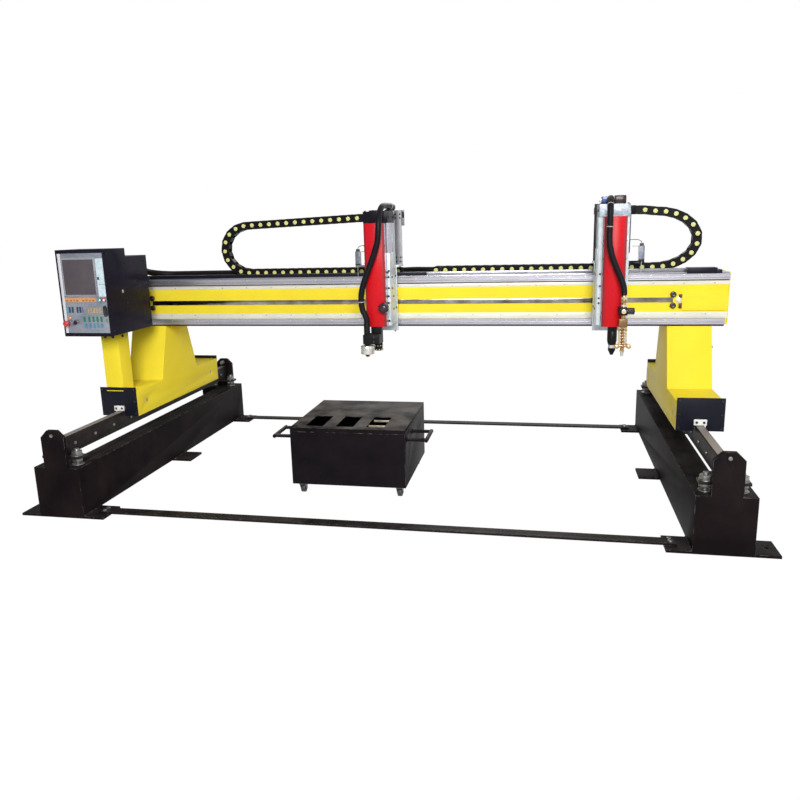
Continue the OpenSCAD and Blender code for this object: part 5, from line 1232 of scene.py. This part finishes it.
levers = [part_turned((0.0008, -0.0440, 0.8130), "X", ((0, 0.0050), (0.0030, 0.0050), (0.0042, 0.0032),
                                                      (0.0100, 0.0030), (0.0115, 0.0016)), 12),
          part_turned((-0.0157, -0.0440, 0.7880), "-Z", ((0, 0.0045), (0.0045, 0.0040), (0.0095, 0.0012)), 12)]
fit(joined(levers), "left_plate_stops", "left_carriage", "zinc_plate", screw_black)
edges = [part_box((1.1679, -0.2045, 1.1850), (1.1735, -0.1900, 1.3830), 0.0008),
         part_box((1.0205, -0.0600, 1.1450), (1.0262, -0.0495, 1.3450), 0.0008)]
fit(joined(edges), "right_edge_strips", "right_carriage", "black_plastic", wire_black)
coil = [coloured(part_box((1.0385, -0.1560, 1.4215), (1.0760, -0.1180, 1.4510), 0.0030), solenoid_blue),
        coloured(part_box((1.0350, -0.1600, BLOCK_TOP), (1.0700, -0.1140, 1.4218), 0.0012), block_black),
        coloured(part_box((1.0290, -0.1480, 1.4255), (1.0387, -0.1260, 1.4420), 0.0012), zinc)]
fit(joined(coil), "right_solenoid", "right_carriage", "black_plastic", None)


# ---- Lifts and torches -----------------------------------------------------------------------------------
# What moves up and down: slides behind red folded covers, screws, the two torch sets with their clamps and
# knobs, a sensing ring beside the left torch, and the brass torch with its twisted tubes and two valves.
red_enamel = finish("red_enamel", (0.62, 0.008, 0.012), 0.30, tone=0.08, marks=260, mark_tone=0.03,
                    relief=0.015, worn=0.25, worn_width=0.0012, shine=0.15, second=(0.62, 0.010, 0.022))
red_fold_shade = finish("red_fold_shade", (0.34, 0.008, 0.014), 0.36, tone=0.12, tone_scale=6, marks=260, relief=0.015,
                  worn=0.25, worn_width=0.0012)
slide_steel = finish("slide_steel", (0.13, 0.13, 0.14), 0.38, metal=0.6, tone=0.15, tone_scale=12,
                     marks=(60, 300, 300), mark_tone=0.1)
screw_steel = finish("screw_steel", (0.50, 0.49, 0.48), 0.22, metal=1.0, tone=0.12, tone_scale=30)
torch_black = finish("torch_black", (0.008, 0.008, 0.009), 0.40, shine=0.15, tone=0.2, tone_scale=22,
                     marks=200, mark_tone=0.1, dusty=0.1)
chrome = finish("collar_chrome", (0.70, 0.69, 0.66), 0.30, metal=0.7, tone=0.15, tone_scale=20,
                marks=(300, 300, 40), mark_tone=0.08, relief=0.01)
copper = finish("nozzle_copper", (0.48, 0.24, 0.12), 0.28, metal=1.0, tone=0.2, tone_scale=60, dusty=0.3)
brass = finish("torch_brass", (0.60, 0.40, 0.17), 0.22, metal=1.0, tone=0.22, tone_scale=40, mark_tone=0.15,
               second=(0.44, 0.26, 0.10))
brass_dark = finish("brass_dark", (0.22, 0.13, 0.06), 0.30, metal=0.8, tone=0.25, tone_scale=40)
brass_pale = finish("brass_pale", (0.80, 0.66, 0.42), 0.24, metal=0.9, tone=0.15, tone_scale=40)


def spun(x, y, profile, one, sides=28):
    """A turned piece standing at (x, y): rings of (height, radius)."""
    base = profile[0][0]
    return coloured(part_turned((x, y, base), "Z", [(z - base, r) for z, r in profile], sides), one)


QUARTER_PITCH = 0.00125   # of the lifting screws' thread, which is four rings of a ribbed tube
for side, x0, x1, screw_x, top in (("left", -0.121, -0.017, -0.0910, 1.4010),
                                   ("right", 1.048, 1.152, 1.1270, 1.4350)):
    body = side + "_lift"
    mid = (x0 + x1) / 2
    block = part_box((mid - 0.040, -0.1635, 1.1900), (mid + 0.045, -0.0710, 1.2700), 0.0015)
    bore = spun(screw_x, SCREW_Y, ((1.1800, 0.0086), (1.2800, 0.0086)), slide_steel)
    modified(block, "BOOLEAN", object=bore, operation="DIFFERENCE", solver="EXACT")
    bpy.data.objects.remove(bore)
    carrier = [block, part_box((mid - 0.030, -0.2090, 1.2000), (mid + 0.030, -0.1630, 1.2600), 0.0015),
               part_box((x0 + 0.0021, -0.2165, 0.8390), (x1 - 0.0021, -0.2085, 1.3515), 0.0010),
               part_box((mid - 0.040, -0.0712, 1.1900), (screw_x - 0.0106, -0.0595, 1.2700), 0.0010),
               part_box((screw_x + 0.0106, -0.0712, 1.1900), (mid + 0.045, -0.0595, 1.2700), 0.0010)]
    fit(joined(carrier), side + "_slide_block", body, "gear_steel", slide_steel, side + "_lift_slide")
    yf, yb, t, cut, deep = -0.2665, -0.2445, 0.002, 0.013, 0.009
    yi, ci = yf + deep + 0.0008, cut + 0.0008
    outline = [(x0, yb), (x0, yf + deep), (x0 + cut, yf), (x1 - cut, yf), (x1, yf + deep), (x1, yb),
               (x1 - t, yb), (x1 - t, yi), (x1 - ci, yf + t), (x0 + ci, yf + t), (x0 + t, yi), (x0 + t, yb)]
    cover = joined([part_plate(outline, "XY", 0.8350, 0.5190, 0.0006),
                    part_plate(outline[:6], "XY", 1.3535, 0.0020, 0.0006)])
    fit(cover, side + "_red_cover", body, "red_paint", (red_enamel, red_fold_shade))
    # the cover's slanted corner folds take the darker red: painted shade on the folds
    for face in cover.data.polygons:
        if 0.2 < abs(face.normal.x) < 0.95 and abs(face.normal.z) < 0.5 and face.center.y < yf + deep + 0.001:
            face.material_index = 1
    left, right, front, back, high = x0 + 0.0003, x1 - 0.0003, yb - 0.0010, -0.2087, 1.3545
    walls = [part_box((left, front, 0.8360), (x0 + 0.0020, back, high), 0.0004, 1),
             part_box((x1 - 0.0020, front, 0.8360), (right, back, high), 0.0004, 1),
             part_box((left, front, 1.3525), (right, back, high), 0.0004, 1)]
    fit(joined(walls), side + "_slide_walls", body, "aluminium", aluminium)
    pins = repeated(socket_screw(0.0032, 0.0024),
                    standing(LEFT, [(x0, -0.2510, z) for z in (1.2430, 1.2200, 1.1580, 0.9000)])
                    + standing(RIGHT, [(x1, -0.2510, z) for z in (1.2430, 1.1580, 0.9000)]))
    fit(pins, side + "_cover_screws", body, "zinc_plate", screw_black)
    lifting = side + "_lift_screw"
    turns = [(screw_x, SCREW_Y, 0.8480 + QUARTER_PITCH * k) for k in range(404)]
    thread = [spun(screw_x, SCREW_Y, ((0.8370, 0.0056), (0.8480, 0.0060), (0.8480, 0.0078)), screw_steel, 20),
              coloured(ribbed_tube(turns, 0.0080, 0.0006, 12), screw_steel),
              spun(screw_x, SCREW_Y, ((1.3500, 0.0060), (top - 0.001, 0.0060), (top, 0.0052)), screw_steel, 20)]
    fit(joined(thread), lifting + "_finish", lifting, "bright_steel", None, lifting)

# left torch: clamp, shaft with collar and nozzle, and the sensing ring beside it
tx, ty, cx = -0.112, -0.2935, -0.069      # the torch's axis, and the middle of its clamp
RING_Y, BEAD_RING = -0.2365, 0.0216
left_set = [
    coloured(part_box((cx - 0.030, -0.2615, 0.7470), (cx + 0.024, -0.2170, 0.8790), 0.0030, 3), torch_black),
    coloured(part_box((tx - 0.018, -0.3175, 0.7510), (cx + 0.024, -0.2405, 0.8010), 0.0040, 3), torch_black),
    coloured(part_box((tx - 0.0185, -0.2950, 0.7530), (tx + 0.0185, -0.2920, 0.7990)), chrome),
    spun(tx, ty, ((0.7450, 0.0150), (0.7470, 0.0160), (0.8520, 0.0160), (0.8560, 0.0152), (0.8600, 0.0148)),
         torch_black),
    spun(tx, ty, ((0.6990, 0.0300), (0.7010, 0.0345), (0.7040, 0.0350), (0.7200, 0.0350), (0.7215, 0.0335),
                  (0.7230, 0.0335), (0.7245, 0.0350), (0.7400, 0.0350), (0.7425, 0.0335), (0.7430, 0.0200)),
         chrome, 40),
    spun(tx, ty, ((0.6850, 0.0040), (0.6852, 0.0090), (0.6930, 0.0130), (0.7000, 0.0170)), copper),
    spun(cx + 0.002, RING_Y, ((0.7090, 0.0180), (0.7105, 0.0220), (0.7200, 0.0220), (0.7210, 0.0200),
                              (0.7240, 0.0200), (0.7250, 0.0220), (0.7460, 0.0220), (0.7490, 0.0205)),
         torch_black),
]
clamp_screws = repeated(part_turned((cx - 0.004, -0.3173, 0.0), "-Y",
                                    ((0, 0.0050), (0.0040, 0.0050), (0.0048, 0.0040)), 12),
                        [(0, 0, 0.7640), (0, 0, 0.7880)])
left_set.append(coloured(clamp_screws, screw_black))
for z, first in ((0.7155, -150), (0.7350, -130)):
    for turn in [math.radians(first + 40 * k) for k in range(6)]:
        place = (cx + 0.002 + BEAD_RING * math.cos(turn), RING_Y + BEAD_RING * math.sin(turn), z)
        bpy.ops.mesh.primitive_uv_sphere_add(segments=10, ring_count=6, radius=0.0040, location=place)
        bead = bpy.context.object
        bpy.ops.object.transform_apply(location=True, rotation=True, scale=True)
        left_set.append(coloured(shaded(bead, 60), brass_pale))
fit(joined(left_set), "left_torch_set", "left_lift", "torch_plastic", None, "left_torch")


def lobed(x, y, z, axis, radius, deep, one, hub):
    """A hand knob with six lobes and a domed hub, its back at the point and growing along the axis."""
    corners = []
    for k in range(72):
        turn = 2 * math.pi * k / 72
        out = radius * (1 - 0.16 * max(0.0, math.cos(6 * turn)) ** 2)
        corners.append((out * math.cos(turn), out * math.sin(turn)))
    knob = coloured(part_plate(corners, "XY", 0.0, deep, radius * 0.10, 3), one)
    cap = coloured(part_turned((0, 0, deep - 0.0002), "Z", ((0, radius * 0.52), (radius * 0.08, radius * 0.50),
                                                           (radius * 0.16, radius * 0.30)), 24), hub)
    knob = joined([knob, cap])
    knob.data.transform(Matrix.Translation((x, y, z)) @ {"-Y": FRONT, "X": RIGHT}[axis])
    return knob


knob_black = finish("knob_black", (0.012, 0.009, 0.013), 0.30, shine=0.4, tone=0.15, tone_scale=30, marks=260,
                    mark_tone=0.06, relief=0.01)
knob_hub = finish("knob_hub", (0.045, 0.010, 0.022), 0.28, tone=0.15, tone_scale=40, marks=260, coat=0.2)
stem = coloured(part_turned((-0.024, -0.2685, 0.933), "Y", ((0, 0.0060), (0.0017, 0.0060)), 16), stem_steel)
fit(joined([lobed(-0.024, -0.2685, 0.933, "-Y", 0.027, 0.0250, knob_black, knob_hub), stem]), "left_knob_piece",
    "left_clamp_knob", "black_plastic", None, "left_clamp_knob")

# right set: the black torch behind, and the brass one in its clamp
bx, by = 1.144, -0.3065                   # the brass torch's axis
rx, ry = 1.102, -0.2405                   # the black torch's axis
right_set = [
    coloured(part_box((rx - 0.020, -0.2355, 0.8410), (rx + 0.020, -0.2170, 0.8750), 0.0020), torch_black),
    spun(rx, ry, ((0.7450, 0.0170), (0.7460, 0.0172), (0.7500, 0.0190), (0.7650, 0.0230), (0.8100, 0.0230),
                  (0.8110, 0.0222), (0.8140, 0.0222), (0.8150, 0.0230), (0.8720, 0.0230), (0.8750, 0.0215)),
         torch_black),
    spun(rx, ry, ((0.7296, 0.0160), (0.7300, 0.0172), (0.7445, 0.0172), (0.7450, 0.0165)), chrome),
    spun(rx, ry, ((0.6950, 0.0050), (0.6955, 0.0070), (0.7080, 0.0120), (0.7180, 0.0175), (0.7290, 0.0178),
                  (0.7300, 0.0165)), torch_black),
    coloured(part_box((rx + 0.020, -0.3285, 0.8970), (rx + 0.060, -0.2668, 0.9350), 0.0035, 3), torch_black),
    coloured(part_turned((bx, -0.3283, 0.9160), "-Y",
                         ((0, 0.0112), (0.0016, 0.0112), (0.0024, 0.0100), (0.0020, 0.0060)), 24), brass_pale),
    spun(bx, by, ((0.7000, 0.0050), (0.7005, 0.0062), (0.7180, 0.0090), (0.7260, 0.0118)), chrome),
    spun(bx, by, ((0.7250, 0.0095), (0.7420, 0.0095)), brass),
    spun(bx, by, ((0.8350, 0.0095), (0.8400, 0.0100), (0.9880, 0.0100), (0.9905, 0.0090), (0.9910, 0.0080)),
         brass),
    spun(bx, by, ((0.9550, 0.0138), (0.9560, 0.0148), (0.9680, 0.0148), (0.9690, 0.0138)), brass, 6),
    spun(bx, by, ((0.9710, 0.0124), (0.9720, 0.0134), (0.9820, 0.0134), (0.9830, 0.0124)), brass_pale, 6),
    spun(bx, by, ((0.9380, 0.0105), (0.9385, 0.0128), (0.9460, 0.0128), (0.9470, 0.0110)), chrome),
    coloured(part_box((bx - 0.020, by - 0.012, 0.8400), (bx + 0.020, by + 0.012, 0.8800), 0.0030, 3),
             brass_dark),
    coloured(part_turned((bx - 0.0265, by, 0.7510), "X", ((0, 0.0050), (0.0530, 0.0050)), 16), brass),
]
for turn_at in (0.0, math.pi):
    coil = [(bx + 0.0052 * math.cos(turn), by + 0.0052 * math.sin(turn), 0.7400 + 0.0024 * k)
            for k in range(42) for turn in [2 * math.pi * k / 12 + turn_at]]
    right_set.append(coloured(ribbed_tube(coil, 0.0046, 0.0, 10), brass))
for s in (-1, 1):
    right_set.append(coloured(part_turned((bx + s * 0.0155, by, 0.7430), "Z", ((0, 0.0050), (0.0975, 0.0050)),
                                          14), brass_pale))
    right_set.append(spun(bx + s * 0.0155, by,
                          ((0.8220, 0.0058), (0.8225, 0.0062), (0.8320, 0.0062), (0.8325, 0.0056)), brass, 6))
    right_set.append(coloured(part_turned((bx + s * 0.027, by + 0.010, 0.7510), "-Y",
                                          ((0, 0.0060), (0.0010, 0.0078), (0.0060, 0.0080), (0.0180, 0.0080),
                                           (0.0220, 0.0070), (0.0240, 0.0060)), 20), brass))
fit(joined(right_set), "right_torch_set", "right_lift", "torch_plastic", None, "right_torches")
stem = coloured(part_turned((1.1623, by, 0.916), "X", ((0, 0.0060), (0.0030, 0.0060)), 16), stem_steel)
fit(joined([lobed(1.1650, by, 0.916, "X", 0.016, 0.0290, knob_black, knob_hub), stem]), "right_knob_piece",
    "right_clamp_knob", "black_plastic", None, "right_clamp_knob")
for name, s in (("oxygen_valve_knob", -1), ("fuel_valve_knob", 1)):
    x = bx + s * 0.027
    stem = coloured(part_turned((x, -0.3208, 0.751), "-Y", ((0, 0.0040), (0.0030, 0.0040)), 12), brass)
    fit(joined([lobed(x, -0.3235, 0.751, "-Y", 0.0115, 0.0115, brass, brass_pale), stem]), name + "_piece",
        name, "brass", None, name)
